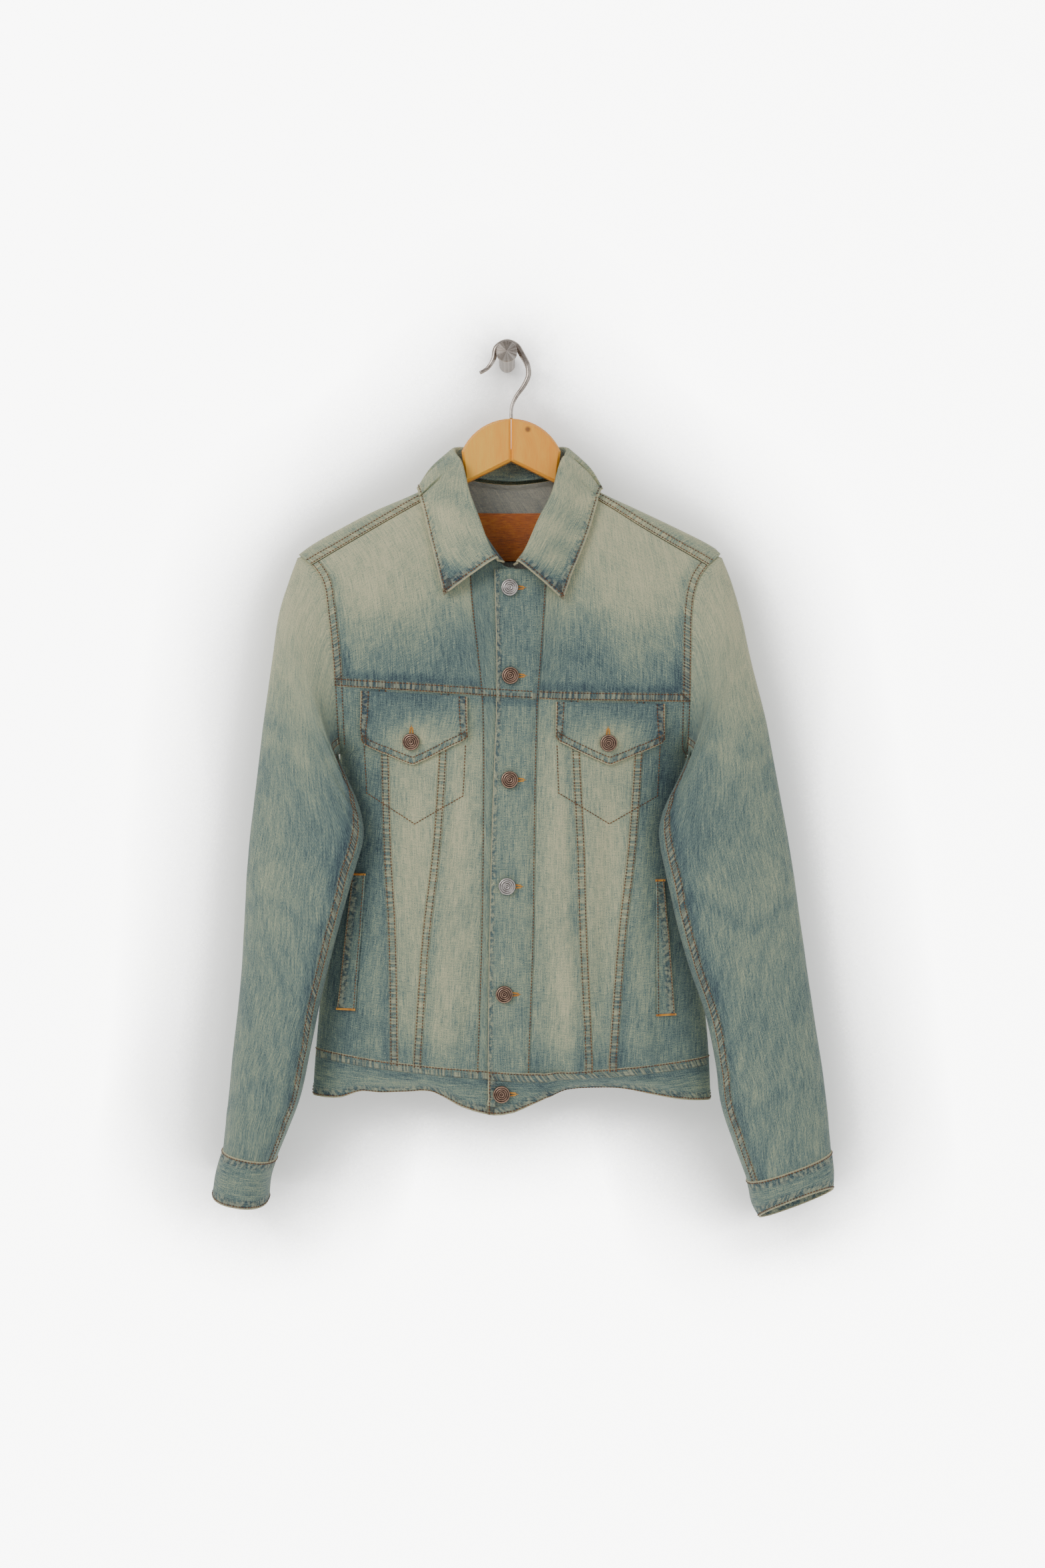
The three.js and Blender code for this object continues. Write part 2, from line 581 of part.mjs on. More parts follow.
function frontPanels() {
  const { denim, yoke } = MATERIALS;
  const yokes = { columns: 10, rows: 7 };
  const upper = { top: yokeTop, bottom: yokeSeam };
  const lower = { top: yokeSeam, bottom: waistSeam };
  const panel = (name, material, bounds, grid) =>
    wall(name, material, bodyPatch(bounds, -1), { flip: -1, ...grid });
  panel("front_yoke_left", yoke, { left: armhole.left, right: placketSeam.left, ...upper }, yokes);
  panel("front_yoke_right", yoke, { left: placketSeam.right, right: armhole.right, ...upper }, yokes);
  const sides = { columns: 7, rows: 13 };
  const wedge = { columns: 3, rows: 12 };
  const centre = { columns: 3, rows: 12 };
  panel("front_side_left", denim, { left: outerEdge.left, right: dart("left_outer"), ...lower }, sides);
  panel("front_wedge_left", denim, { left: dart("left_outer"), right: dart("left_inner"), ...lower }, wedge);
  panel("front_centre_left", denim, { left: dart("left_inner"), right: placketSeam.left, ...lower }, centre);
  panel("front_centre_right", denim, { left: placketSeam.right, right: dart("right_inner"), ...lower }, centre);
  panel("front_wedge_right", denim, { left: dart("right_inner"), right: dart("right_outer"), ...lower }, wedge);
  panel("front_side_right", denim, { left: dart("right_outer"), right: outerEdge.right, ...lower }, sides);
}

// The placket under the buttons, and the one over it, which lies on the first and carries the buttons.
function plackets() {
  const underEdge = (z) => overlapEdge(z) + 20;
  const under = { left: placketSeam.left, right: underEdge, top: neckFront, bottom: waistSeam };
  wall("placket_left", MATERIALS.edge, bodyPatch(under, -1), { columns: 3, rows: 13, flip: -1 });
  const overTop = (x) => Math.min(neckFront(x), -221);
  const over = { left: overlapEdge, right: placketSeam.right, top: overTop, bottom: waistSeam };
  const lift = STRIP + LAY_GAP + 0.1;
  wall("placket_right", MATERIALS.edge, bodyPatch(over, -1),
    { columns: 4, rows: 13, flip: -1, lift, thickness: STRIP });
}

// The back yoke's rows are closest together where it turns over the ridge.
const OVER_RIDGE_ROWS = 5 / 9;
const OVER_RIDGE_TO = 18;
// Its columns are closest together where the neck seam crosses the ridge.
const YOKE_COLUMNS = [
  { s: 0, across: 0 },
  { s: 0.25, across: 0.29 },
  { s: 0.4, across: 0.37 },
  { s: 0.6, across: 0.63 },
  { s: 0.75, across: 0.71 },
  { s: 1, across: 1 },
];
function backPanels() {
  const { denim, yoke } = MATERIALS;
  const bottomPath = (x) => pathBelowRidge(x, BACK_YOKE_SEAM_Z);
  const topPath = (x) => {
    if (x > -66 && x < 75) return backNeck(x);
    return -pathBelowRidge(x, forwardSeam(x));
  };
  const spread = track(YOKE_COLUMNS, "s", "across");
  const sheet = (column, v) => {
    const s = column + spread(column) - THREE.MathUtils.clamp(column, 0, 1);
    let x = mix(-180, 190, s);
    let q = 0;
    for (let pass = 0; pass < 40; pass += 1) {
      const start = topPath(x);
      const overRidge = Math.max(start + 6, OVER_RIDGE_TO);
      q = v < OVER_RIDGE_ROWS
        ? mix(start, overRidge, v / OVER_RIDGE_ROWS)
        : mix(overRidge, bottomPath(x), (v - OVER_RIDGE_ROWS) / (1 - OVER_RIDGE_ROWS));
      const z = overRidgeAt(x, q).z;
      x = 0.6 * x + 0.4 * mix(armhole.left(z), armhole.right(z), s);
    }
    return overRidgeAt(x, q);
  };
  wall("back_yoke", yoke, sheet, { columns: 26, rows: 9 });
  const top = () => BACK_YOKE_SEAM_Z;
  const back = { left: track(BACK_SEAMS, "z", "left"), right: track(BACK_SEAMS, "z", "right") };
  const panel = (name, left, right, columns) =>
    wall(name, denim, bodyPatch({ left, right, top, bottom: backWaist }, 1), { columns, rows: 11 });
  panel("back_side_left", outerEdge.left, back.left, 7);
  panel("back_centre", back.left, back.right, 6);
  panel("back_side_right", back.right, outerEdge.right, 7);
}

// One strip from under the front overlap round the back to the overlapping end.
function waistband() {
  const middle = -735;
  const start = turnAtX(overlapEdge(middle) + 24, middle);
  const end = turnAtX(overlapEdge(middle), middle) - 2 * Math.PI;
  const sheet = (s, v) => {
    const turn = mix(start, end, s);
    const behind = Math.sin(turn) < 0;
    const x = xAtTurn(turn, middle);
    const [high, low] = behind ? [backWaist(x), backHem(x)] : [waistSeam(x), hem(x)];
    const point = bodyAt(turn, mix(high, low, v));
    if (!behind) point.y += hemTuck(x) * v ** 2;
    return point;
  };
  const overLift = (s) => (STRIP + LAY_GAP + 0.3) * smooth(s, 0.91, 0.952) + 0.1;
  wall("waistband", MATERIALS.edge, sheet,
    { columns: 56, rows: 3, thickness: STRIP, lift: overLift });
}

// The armhole seam as a loop: half a turn over the front from the shoulder tip to the underarm, and back.
function armholeLoop(hand, turn) {
  const c = Math.cos(turn);
  const fraction = (1 - c) / 2;
  const z = mix(-203.2, UNDERARM_Z, fraction);
  return bodyOn(armhole[hand](z), z, Math.sin(turn) > 0 ? -1 : 1);
}

// A ring of a sleeve or cuff, read from its table at any place along it.
function ringOf(rows) {
  const get = {};
  for (const key of Object.keys(rows[0])) get[key] = track(rows, "along", key);
  return (along, turn) => {
    const outerPoint = vector(get.ox(along), get.oy(along), get.oz(along));
    const innerPoint = vector(get.ix(along), get.iy(along), get.iz(along));
    const [c, s] = [Math.cos(turn), Math.sin(turn)];
    const power = 0.86;
    const across = Math.sign(c) * Math.abs(c) ** power;
    const out = Math.sign(s) * Math.abs(s) ** power;
    const point = innerPoint.lerp(outerPoint, (1 + across) / 2);
    const offset = -out * (out > 0 ? get.front(along) : get.back(along));
    const tip = get.tip ? get.tip(along) : 0;
    point.y += offset;
    point.z += offset * tip;
    return point;
  };
}

// Creases that run across a sleeve, as shallow waves that fade round it.
const SLEEVE_CREASES = [
  { at: 3.2, turn: 1.9, spread: 0.9, long: 0.35, rise: -3 },
  { at: 4.4, turn: 1.3, spread: 0.8, long: 0.4, rise: 2.5 },
  { at: 6.1, turn: 1.7, spread: 1, long: 0.4, rise: -3 },
  { at: 7.2, turn: 1.2, spread: 0.8, long: 0.35, rise: 2 },
  { at: 9.1, turn: 1.6, spread: 0.9, long: 0.4, rise: -2.5 },
  { at: 10.6, turn: 1.4, spread: 1, long: 0.4, rise: 2.5 },
  { at: 4.8, turn: 4.6, spread: 0.9, long: 0.45, rise: -2 },
  { at: 8.3, turn: 4.8, spread: 1, long: 0.5, rise: -2 },
];
function creaseRise(along, turn) {
  return SLEEVE_CREASES.reduce((sum, crease) => {
    const round = (turn - crease.turn) / crease.spread;
    const down = (along - crease.at - 0.25 * (turn - crease.turn)) / crease.long;
    return sum + crease.rise * Math.exp(-(round ** 2) - down ** 2);
  }, 0);
}

// The upper sleeve is in front and over the outside, the under sleeve is behind, with a seam near each fold.
const INNER_SEAM_TURN = 2.72;
const OUTER_SEAM_TURN = -0.62;
function sleeve(hand, rows, mirror) {
  const ring = ringOf(rows);
  const last = rows.length - 1;
  const start = 0.05;
  const meet = 3; // rings over which the sleeve leaves the armhole's own shape
  const point = (along, turn) => {
    const p = ring(along, turn);
    if (along < meet) {
      const keep = (1 - along / meet) ** 3;
      p.addScaledVector(armholeLoop(hand, turn).sub(ring(0, turn)), keep);
    }
    return p;
  };
  const sheetOf = (from, to) => {
    const turnAt = (s) => mix(from, to, s);
    const plain = (s, v) => point(mix(start, last, v), turnAt(s));
    return (s, v) => {
      const along = mix(start, last, v);
      const rise = creaseRise(along, THREE.MathUtils.euclideanModulo(turnAt(s), 2 * Math.PI));
      const fade = smooth(v, 0.02, 0.2) * (1 - smooth(v, 0.9, 0.98));
      return plain(s, v).addScaledVector(normalOf(plain, s, v, mirror), rise * fade);
    };
  };
  const make = (name, from, to, columns) => {
    const sheet = sheetOf(from, to);
    const normal = (s, v) => {
      const own = normalOf(sheet, s, Math.max(v, 0.002), mirror);
      const turn = mix(from, to, s);
      const loop = armholeLoop(hand, turn);
      const core = vector(loop.x, HANG_Y + 4, THREE.MathUtils.clamp(loop.z, -385, -222));
      const seam = loop.sub(core).normalize();
      return seam.lerp(own, smooth(v, 0, 0.09)).normalize();
    };
    wall(name, MATERIALS.denim, sheet, { columns, rows: 20, normal });
  };
  make("sleeve_upper_" + hand, OUTER_SEAM_TURN, INNER_SEAM_TURN, 10);
  make("sleeve_under_" + hand, INNER_SEAM_TURN, 2 * Math.PI + OUTER_SEAM_TURN, 10);
}

function cuff(hand, rows, mirror) {
  const ring = ringOf(rows);
  const sheet = (s, v) => ring(mix(0.03, 2, v), 2 * Math.PI * s);
  wall("cuff_" + hand, MATERIALS.edge, sheet,
    { columns: 24, rows: 3, ring: true, thickness: STRIP, flip: mirror });
}

// The collar's cloth runs from the neck seam up to the fold line and over to the outer edge.
function collar() {
  const rows = COLLAR.map((row, i) => ({ ...row, at: i / (COLLAR.length - 1) }));
  const get = {};
  for (const key of Object.keys(rows[0])) get[key] = track(rows, "at", key);
  const neckAt = neckLine();
  const section = (s) => {
    const fold = vector(get.foldX(s), get.foldY(s), get.foldZ(s));
    const sign = get.side(s) < 0 ? -1 : 1;
    const edgeX = get.edgeX(s);
    const edgeZ = Math.min(get.edgeZ(s), ridgeZ(edgeX) - 0.2);
    const onBody = bodyOn(edgeX, edgeZ, sign);
    const nextX = bodyOn(edgeX + 1, edgeZ, sign).sub(onBody);
    const nextZ = bodyOn(edgeX, edgeZ - 1, sign).sub(onBody);
    const out = nextX.cross(nextZ).normalize();
    if (out.y * sign < 0) out.negate();
    const edge = onBody.addScaledVector(out, get.lift(s));
    const neck = neckAt(s);
    const up = fold.clone().sub(neck.clone().add(edge).multiplyScalar(0.5)).normalize();
    const over = edge.clone().sub(neck);
    over.addScaledVector(up, -over.dot(up)).normalize();
    const half = COLLAR_FOLD_WIDTH / 2;
    const before = fold.clone().addScaledVector(over, -half).addScaledVector(up, -half);
    const after = fold.clone().addScaledVector(over, half).addScaledVector(up, -half);
    const start = neck.clone().lerp(before, 0.03).addScaledVector(up, 2.2);
    const rise = start.clone().lerp(before, 0.5);
    const leaf = after.clone().lerp(edge, 0.5).addScaledVector(out, 4);
    return new THREE.CatmullRomCurve3([start, rise, before, fold, after, leaf, edge], false, "centripetal");
  };
  const known = new Map();
  const sheet = (s, v) => {
    const key = s.toFixed(6);
    if (!known.has(key)) known.set(key, section(THREE.MathUtils.clamp(s, 0, 1)));
    return known.get(key).getPoint(THREE.MathUtils.clamp(v, 0, 1));
  };
  const normal = (s, v) => {
    const at = THREE.MathUtils.clamp(s, 0.002, 0.998);
    const down = THREE.MathUtils.clamp(v, 0.002, 0.998);
    return normalOf(sheet, at, down, COLLAR_SIDE);
  };
  wall("collar", MATERIALS.edge, sheet, { columns: 30, rows: 9, thickness: CLOTH, normal });
}
const COLLAR_SIDE = -1;

// The neck seam, from the left end of the front round the back to the right end.
function neckLine() {
  const points = [];
  for (const x of [-4, -14, -28, -38, -50, -59]) points.push(bodyOn(x, neckFront(x), -1));
  for (const x of [-62, -52, -36, -16, 4.5, 25, 45, 61, 71]) points.push(overRidgeAt(x, backNeck(x)));
  for (const x of [68, 59, 47, 37, 23, 9]) points.push(bodyOn(x, neckFront(x), -1));
  const curve = new THREE.CatmullRomCurve3(points, false, "centripetal");
  return (s) => curve.getPoint(s);
}

// A piece that lies on the front, by a table of its top and bottom at each x.
function flap(hand) {
  const rows = FLAPS[hand];
  const top = track(rows, "x", "top");
  const bottom = track(rows, "x", "bottom");
  const straight = (x) => {
    const i = Math.min(rows.findIndex((row) => row.x >= x - 1e-9) || 1, rows.length - 1);
    const [a, b] = [rows[Math.max(i - 1, 0)], rows[Math.max(i, 1)]];
    return mix(a.bottom, b.bottom, (x - a.x) / (b.x - a.x));
  };
  const [from, to] = [rows[0].x, rows[rows.length - 1].x];
  const sheet = (s, v) => {
    const x = mix(from, to, THREE.MathUtils.clamp(s, 0, 1));
    return bodyOn(x, mix(top(x), 0.7 * straight(x) + 0.3 * bottom(x), v), -1);
  };
  const normal = (s, v) => normalOf(sheet, THREE.MathUtils.clamp(s, 0.01, 0.99), v, -1);
  wall("flap_" + hand, MATERIALS.edge, sheet,
    { columns: 10, rows: 4, normal, thickness: STRIP, lift: STRIP + LAY_GAP * 1.6 });
}

function welt(hand) {
  const outerX = track(WELTS[hand], "z", "outer");
  const innerX = track(WELTS[hand], "z", "inner");
  const [high, low] = [WELTS[hand][0].z, WELTS[hand][2].z];
  const sheet = (s, v) => {
    const z = mix(high, low, v);
    return bodyOn(mix(outerX(z), innerX(z), s), z, -1);
  };
  const flip = hand === "left" ? -1 : 1;
  wall("welt_" + hand, MATERIALS.edge, sheet,
    { columns: 2, rows: 8, flip, thickness: CLOTH, lift: CLOTH + LAY_GAP });
}

// The patch inside the back yoke, below the neck seam.
function neckPatch() {
  const sheet = (s, v) => bodyOn(mix(PATCH.left, PATCH.right, s), mix(PATCH.top, PATCH.bottom, v), 1);
  wall("neck_patch", MATERIALS.patch, sheet,
    { columns: 4, rows: 3, thickness: 1.2, lift: -CLOTH - LAY_GAP });
}

// A domed button with a raised rim on a short shank, turned to face out of the cloth.
function buttons() {
  const profile = [
    [0, 0], [SHANK_RADIUS, 0], [SHANK_RADIUS, 1.2], [BUTTON_RADIUS, 1.5],
    [BUTTON_RADIUS - 0.9, BUTTON_HEIGHT - 0.2], [BUTTON_RADIUS - 2.2, 3.5], [0, BUTTON_HEIGHT - 0.4],
  ].map(([r, h]) => new THREE.Vector2(r, h));
  for (const { name, x, z, lift } of BUTTONS) {
    const point = bodyOn(x, z, -1);
    const right = bodyOn(x + 8, z, -1).sub(bodyOn(x - 8, z, -1));
    const down = bodyOn(x, z - 8, -1).sub(bodyOn(x, z + 8, -1));
    const out = right.cross(down).normalize();
    if (out.y > 0) out.negate();
    const geometry = new THREE.LatheGeometry(profile, 14);
    geometry.applyQuaternion(new THREE.Quaternion().setFromUnitVectors(vector(0, 1, 0), out));
    const seat = point.addScaledVector(out, lift + SEAM_GAP);
    if (name === "button_6") seat.y += hemTuck(x) * 0.3 - 0.6;
    geometry.translate(seat.x, seat.y, seat.z);
    place(name, geometry, MATERIALS.copper);
  }
}

// Each board is half of the hanger: a round head, a hollow under it, and an arm below the shoulder ridge.
function hanger() {
  const bevel = 2.4;
  for (const [hand, sign] of [["left", -1], ["right", 1]]) {
    const outline = new THREE.Shape();
    const seam = 0.15 + bevel;
    outline.moveTo(seam, BOARD_UNDERSIDE_Z - BOARD_UNDERSIDE_SLOPE * seam + bevel);
    const headTop = HEAD_CENTRE_Z + HEAD_RADIUS - bevel;
    outline.lineTo(seam, headTop);
    for (let i = 1; i <= 10; i += 1) {
      const angle = Math.PI / 2 - (i / 10) * HEAD_ARC;
      const reach = HEAD_RADIUS - bevel;
      outline.lineTo(Math.cos(angle) * reach, HEAD_CENTRE_Z + Math.sin(angle) * reach);
    }
    outline.lineTo(NECK_HALF_WIDTH - bevel, HEAD_CENTRE_Z - 6);
    for (let i = 0; i <= 10; i += 1) {
      const x = mix(68, BOARD_END_X - 8, i / 10);
      const under = BOARD_UNDER_RIDGE + NECK_EASE * (1 - smooth(x, 68, 110)) + bevel * 1.1;
      outline.lineTo(x, ridgeZ(CENTRE_X + sign * x) - under);
    }
    const endTop = ridgeZ(CENTRE_X + sign * BOARD_END_X) - BOARD_UNDER_RIDGE - bevel * 2;
    outline.lineTo(BOARD_END_X - bevel, endTop);
    outline.lineTo(BOARD_END_X - bevel, endTop - 4);
    const lowEnd = BOARD_END_X - 8;
    outline.lineTo(lowEnd, BOARD_UNDERSIDE_Z - BOARD_UNDERSIDE_SLOPE * lowEnd + bevel * 1.1);
    outline.closePath();
    const geometry = new THREE.ExtrudeGeometry(outline, {
      depth: BOARD_THICKNESS - 2 * bevel,
      bevelThickness: bevel,
      bevelSize: bevel,
      bevelSegments: 1,
      curveSegments: 8,
    });
    geometry.translate(0, 0, bevel - BOARD_THICKNESS / 2);
    geometry.rotateX(Math.PI / 2);
    if (sign < 0) geometry.rotateZ(Math.PI);
    geometry.translate(CENTRE_X, HANG_Y, 0);
    place("hanger_" + hand, geometry, MATERIALS.beech);
  }
}

// A tapered round wire through the rows of its table.
function hook() {
  const path = new THREE.CatmullRomCurve3(HOOK.map(({ x, z }) => vector(x, HANG_Y, z)));
  const thickness = track(HOOK.map((row, i) => ({ ...row, at: i / (HOOK.length - 1) })), "at", "radius");
  const [steps, sides] = [30, 8];
  const points = [];
  for (let i = 0; i <= steps; i += 1) {
    const centre = path.getPoint(i / steps);
    const tangent = path.getTangent(i / steps);
    const across = vector(tangent.z, 0, -tangent.x).normalize();
    for (let j = 0; j < sides; j += 1) {
      const angle = (2 * Math.PI * j) / sides;
      const radius = thickness(i / steps);
      const point = centre.clone().addScaledVector(across, radius * Math.cos(angle));
      point.y += radius * Math.sin(angle);
      points.push(point);
    }
  }
  const faces = [];
  for (let i = 0; i < steps; i += 1) {
    for (let j = 0; j < sides; j += 1) {
      const [a, b] = [i * sides + j, i * sides + ((j + 1) % sides)];
      faces.push(a, b, b + sides, a, b + sides, a + sides);
    }
  }
  const end = steps * sides;
  for (let j = 1; j < sides - 1; j += 1) {
    faces.push(0, j + 1, j, end, end + j, end + j + 1);
  }
  place("hanger_hook", solid(points, faces), MATERIALS.steel);
}

// The peg: a round stem from the wall with a flat knob on its end.
function peg() {
  const profile = [
    [0, 0], [PEG_RADIUS, 0], [PEG_RADIUS, -KNOB_BACK_Y], [KNOB_RADIUS - 0.8, -KNOB_BACK_Y],
    [KNOB_RADIUS, -KNOB_BACK_Y + 0.8], [KNOB_RADIUS, -KNOB_FRONT_Y - 1], [KNOB_RADIUS - 1, -KNOB_FRONT_Y],
    [0, -KNOB_FRONT_Y],
  ].map(([r, h]) => new THREE.Vector2(r, h));
  const geometry = new THREE.LatheGeometry(profile, 28);
  geometry.rotateX(Math.PI);
  place("wall_peg", geometry, MATERIALS.steel);
}

frontPanels();
plackets();
backPanels();
waistband();
collar();
sleeve("left", SLEEVE_LEFT, -1);
sleeve("right", SLEEVE_RIGHT, 1);
cuff("left", CUFF_LEFT, -1);
cuff("right", CUFF_RIGHT, 1);
flap("left");
flap("right");
welt("left");
welt("right");
neckPatch();
buttons();
hanger();
hook();
peg();

export default jacket;
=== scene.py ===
# %% [markdown]
# # A denim jacket on a wooden hanger
# A short buttoned jacket of washed denim hangs on a beech hanger, whose wire hook rests on a
# metal peg. The peg's round back is on the wall, the plane y = 0, and the jacket faces -Y.
# Each cut piece of cloth is made again here as a finer wall on the same form as its solid, then
# gets its stitches, its buttons and its faded, puckered look.

# %% The frame
import bpy
import bmesh
import math
import numpy as np
from mathutils import Matrix, Vector


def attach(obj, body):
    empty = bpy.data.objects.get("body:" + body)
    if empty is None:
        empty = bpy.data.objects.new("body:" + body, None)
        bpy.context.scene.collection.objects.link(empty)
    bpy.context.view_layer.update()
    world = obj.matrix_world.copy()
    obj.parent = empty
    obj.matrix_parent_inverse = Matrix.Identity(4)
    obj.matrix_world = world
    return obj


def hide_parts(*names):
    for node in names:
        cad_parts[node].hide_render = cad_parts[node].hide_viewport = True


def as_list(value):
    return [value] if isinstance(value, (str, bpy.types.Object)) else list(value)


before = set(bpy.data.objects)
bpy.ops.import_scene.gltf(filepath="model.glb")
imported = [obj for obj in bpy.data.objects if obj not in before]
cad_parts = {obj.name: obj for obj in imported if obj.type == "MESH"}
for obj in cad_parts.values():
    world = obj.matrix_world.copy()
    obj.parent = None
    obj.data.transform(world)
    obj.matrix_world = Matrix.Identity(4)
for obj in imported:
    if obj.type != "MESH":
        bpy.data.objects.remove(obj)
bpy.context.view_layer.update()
MM = 0.001
print("nodes", len(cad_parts))

# %% [markdown]
# ## Camera, wall and light
# The photograph was taken straight at the wall from nearly two metres, level with the middle of
# the jacket. The wall is almost white and evenly lit, as in a shop's picture, with one broad
# light high on the left and a weaker one on the right, so the folds show but no shadow is
# hard. A third light is behind the wall and lights the back, which only other views show.

# %% Camera, wall and light
SENSOR_HEIGHT_MM = 36
LENS_MM = 43.05
CAMERA_PLACE = (0.016, -1.95, -0.436)
camera_data = bpy.data.cameras.new("camera")
camera_data.sensor_fit = "VERTICAL"
camera_data.sensor_height = SENSOR_HEIGHT_MM
camera_data.lens = LENS_MM
camera = bpy.data.objects.new("camera", camera_data)
camera.location = CAMERA_PLACE
camera.rotation_euler = (math.radians(90), 0, 0)
bpy.context.scene.collection.objects.link(camera)
bpy.context.scene.camera = camera


def area_light(name, place, target, size, power, colour):
    data = bpy.data.lights.new(name, "AREA")
    data.size = size
    data.energy = power
    data.color = colour
    light = bpy.data.objects.new(name, data)
    light.location = place
    aim = Vector(target) - Vector(place)
    light.rotation_euler = aim.to_track_quat("-Z", "Y").to_euler()
    bpy.context.scene.collection.objects.link(light)


middle_of_jacket = (0.0, -0.05, -0.5)
area_light("key", (-1.5, -1.9, 0.75), middle_of_jacket, 1.3, 33, (1.0, 0.985, 0.96))
area_light("fill", (1.8, -2.0, -0.1), middle_of_jacket, 1.8, 11, (0.96, 0.98, 1.0))
area_light("rear", (0.6, 1.9, 0.4), middle_of_jacket, 1.8, 16, (1.0, 1.0, 1.0))
world = bpy.data.worlds.new("studio")
bpy.context.scene.world = world
world.use_nodes = True
world.node_tree.nodes["Background"].inputs["Color"].default_value = (0.97, 0.98, 1.0, 1)
world.node_tree.nodes["Background"].inputs["Strength"].default_value = 0.5


def backdrop(name, turn, place):
    bm = bmesh.new()
    bmesh.ops.create_grid(bm, x_segments=1, y_segments=1, size=2.6, matrix=Matrix.Translation(place) @ turn)
    mesh = bpy.data.meshes.new(name)
    bm.to_mesh(mesh)
    bm.free()
    thing = bpy.data.objects.new(name, mesh)
    bpy.context.scene.collection.objects.link(thing)
    return thing


wall = backdrop("wall", Matrix.Rotation(math.radians(90), 4, "X"), (0, 0.002, -0.4))
floor = backdrop("floor", Matrix.Identity(4), (0, -2.55, -2.4))
# The first two numbers set how far and how steeply the wall's glow is dimmed near the jacket, which paints a
# soft shadow round it. The last two are the glow that the camera sees and the weak glow that reaches the
# jacket and lights it.
PAINTED_SHADOW_REACH = 0.15
PAINTED_SHADOW_FALLOFF = 11.0
GLOW_SEEN = 7.5
GLOW_CAST = 0.35
wall_paint = bpy.data.materials.new("wall glow with painted shadow")
wall_paint.use_nodes = True
paint_tree = wall_paint.node_tree
paint = paint_tree.nodes["Principled BSDF"]
paint.inputs["Base Color"].default_value = (0.93, 0.93, 0.91, 1)
paint.inputs["Roughness"].default_value = 0.95
paint.inputs["Emission Color"].default_value = (1.0, 1.0, 0.985, 1)
seen_from_behind = paint_tree.nodes.new("ShaderNodeNewGeometry").outputs["Backfacing"]
front_only = paint_tree.nodes.new("ShaderNodeMath")
front_only.operation = "SUBTRACT"
front_only.inputs[0].default_value = 1.0
paint_tree.links.new(seen_from_behind, front_only.inputs[1])
paint_tree.links.new(front_only.outputs[0], paint.inputs["Alpha"])
# Ambient occlusion dims the wall's glow where the jacket is near: this is a painted shadow round the jacket.
# The camera sees the strong glow, other rays only the weak one.
occlusion_for_painted_shadow = paint_tree.nodes.new("ShaderNodeAmbientOcclusion")
occlusion_for_painted_shadow.inputs["Distance"].default_value = PAINTED_SHADOW_REACH
painted_shadow_lightness = paint_tree.nodes.new("ShaderNodeMath")
painted_shadow_lightness.operation = "POWER"
painted_shadow_lightness.inputs[1].default_value = PAINTED_SHADOW_FALLOFF
glow_with_painted_shadow = paint_tree.nodes.new("ShaderNodeMath")
glow_with_painted_shadow.operation = "MULTIPLY"
glow_with_painted_shadow.inputs[1].default_value = GLOW_SEEN
paint_tree.links.new(occlusion_for_painted_shadow.outputs["AO"], painted_shadow_lightness.inputs[0])
paint_tree.links.new(painted_shadow_lightness.outputs[0], glow_with_painted_shadow.inputs[0])
seen = paint_tree.nodes.new("ShaderNodeLightPath").outputs["Is Camera Ray"]
strength = paint_tree.nodes.new("ShaderNodeMath")
strength.operation = "MULTIPLY_ADD"
strength.inputs[2].default_value = GLOW_CAST
paint_tree.links.new(seen, strength.inputs[0])
paint_tree.links.new(glow_with_painted_shadow.outputs[0], strength.inputs[1])
paint_tree.links.new(strength.outputs[0], paint.inputs["Emission Strength"])
for thing in (wall, floor):
    thing.data.materials.append(wall_paint)
print("camera and lights are set")

# %% [markdown]
# ## The garment's measures
# These are the sizes that the solids were made from, in millimetres: where the shoulder ridge,
# the armholes, the seams and the hems run, seen from the front, and how deep the body hangs in
# front of and behind the hanger. Each table names its columns first.


# %% The garment's measures
def table(columns, *rows):
    names = columns.split()
    return [dict(zip(names, row)) for row in rows]


CLOTH = 1.6
STRIP = 2.0
LAY_GAP = 0.8
HANG_Y = -45.0
CENTRE_X = 4.5
UNDERARM_Z = -405.0
SIDE_POWER = 2.4

RIDGE = table(
    "x z",
    (-214, -205), (-198, -193.3), (-175, -180), (-137, -160), (-89, -139), (-58, -121), (-25, -117),
    (34, -117), (67, -121), (92, -138), (133, -157.5), (171, -175.5), (210, -195.5), (219, -204),
)
ARMHOLE = table(
    "z left right",
    (-203, -211.3, 216.9), (-216, -196, 203), (-233, -185, 192.5), (-260, -180, 187),
    (-310, -174.5, 185.5), (-350, -172, 185), (-405, -170, 184),
)
BODY = table(
    "z left right front back",
    (-120, -170, 184, 30, 27), (-405, -170, 184, 33, 31), (-475, -173.5, 187.5, 35, 32),
    (-560, -181, 193, 36, 33), (-640, -189.5, 200, 37, 33), (-704, -195, 206, 39, 34),
    (-775, -200, 209, 39, 34),
)
FRONT_SEAMS = table(
    "z left right",
    (-165, -38, 42), (-241, -36, 40), (-303, -29.5, 36), (-361, -24.5, 32),
    (-499, -24.5, 29), (-587, -26, 28), (-716, -30, 23.5),
)
DART_SEAMS = table(
    "z left_outer left_inner right_inner right_outer",
    (-340, -120, -66, 72, 130), (-408, -118, -68, 74, 128), (-499, -115.5, -74, 78.5, 121.5),
    (-587, -110.5, -84.5, 81, 111.5), (-712, -108, -93.5, 86.5, 102),
)
OVERLAP_EDGE = table("z x", (-222, -12), (-338, -10), (-479, -14.5), (-645, -18), (-764, -18.5))
NECK_FRONT = table(
    "x z",
    (-62, -138), (-50, -147), (-38, -164), (-28, -182), (-14, -203), (-3, -217),
    (12, -218), (23, -204), (37, -182), (47, -164), (59, -147), (71, -138),
)
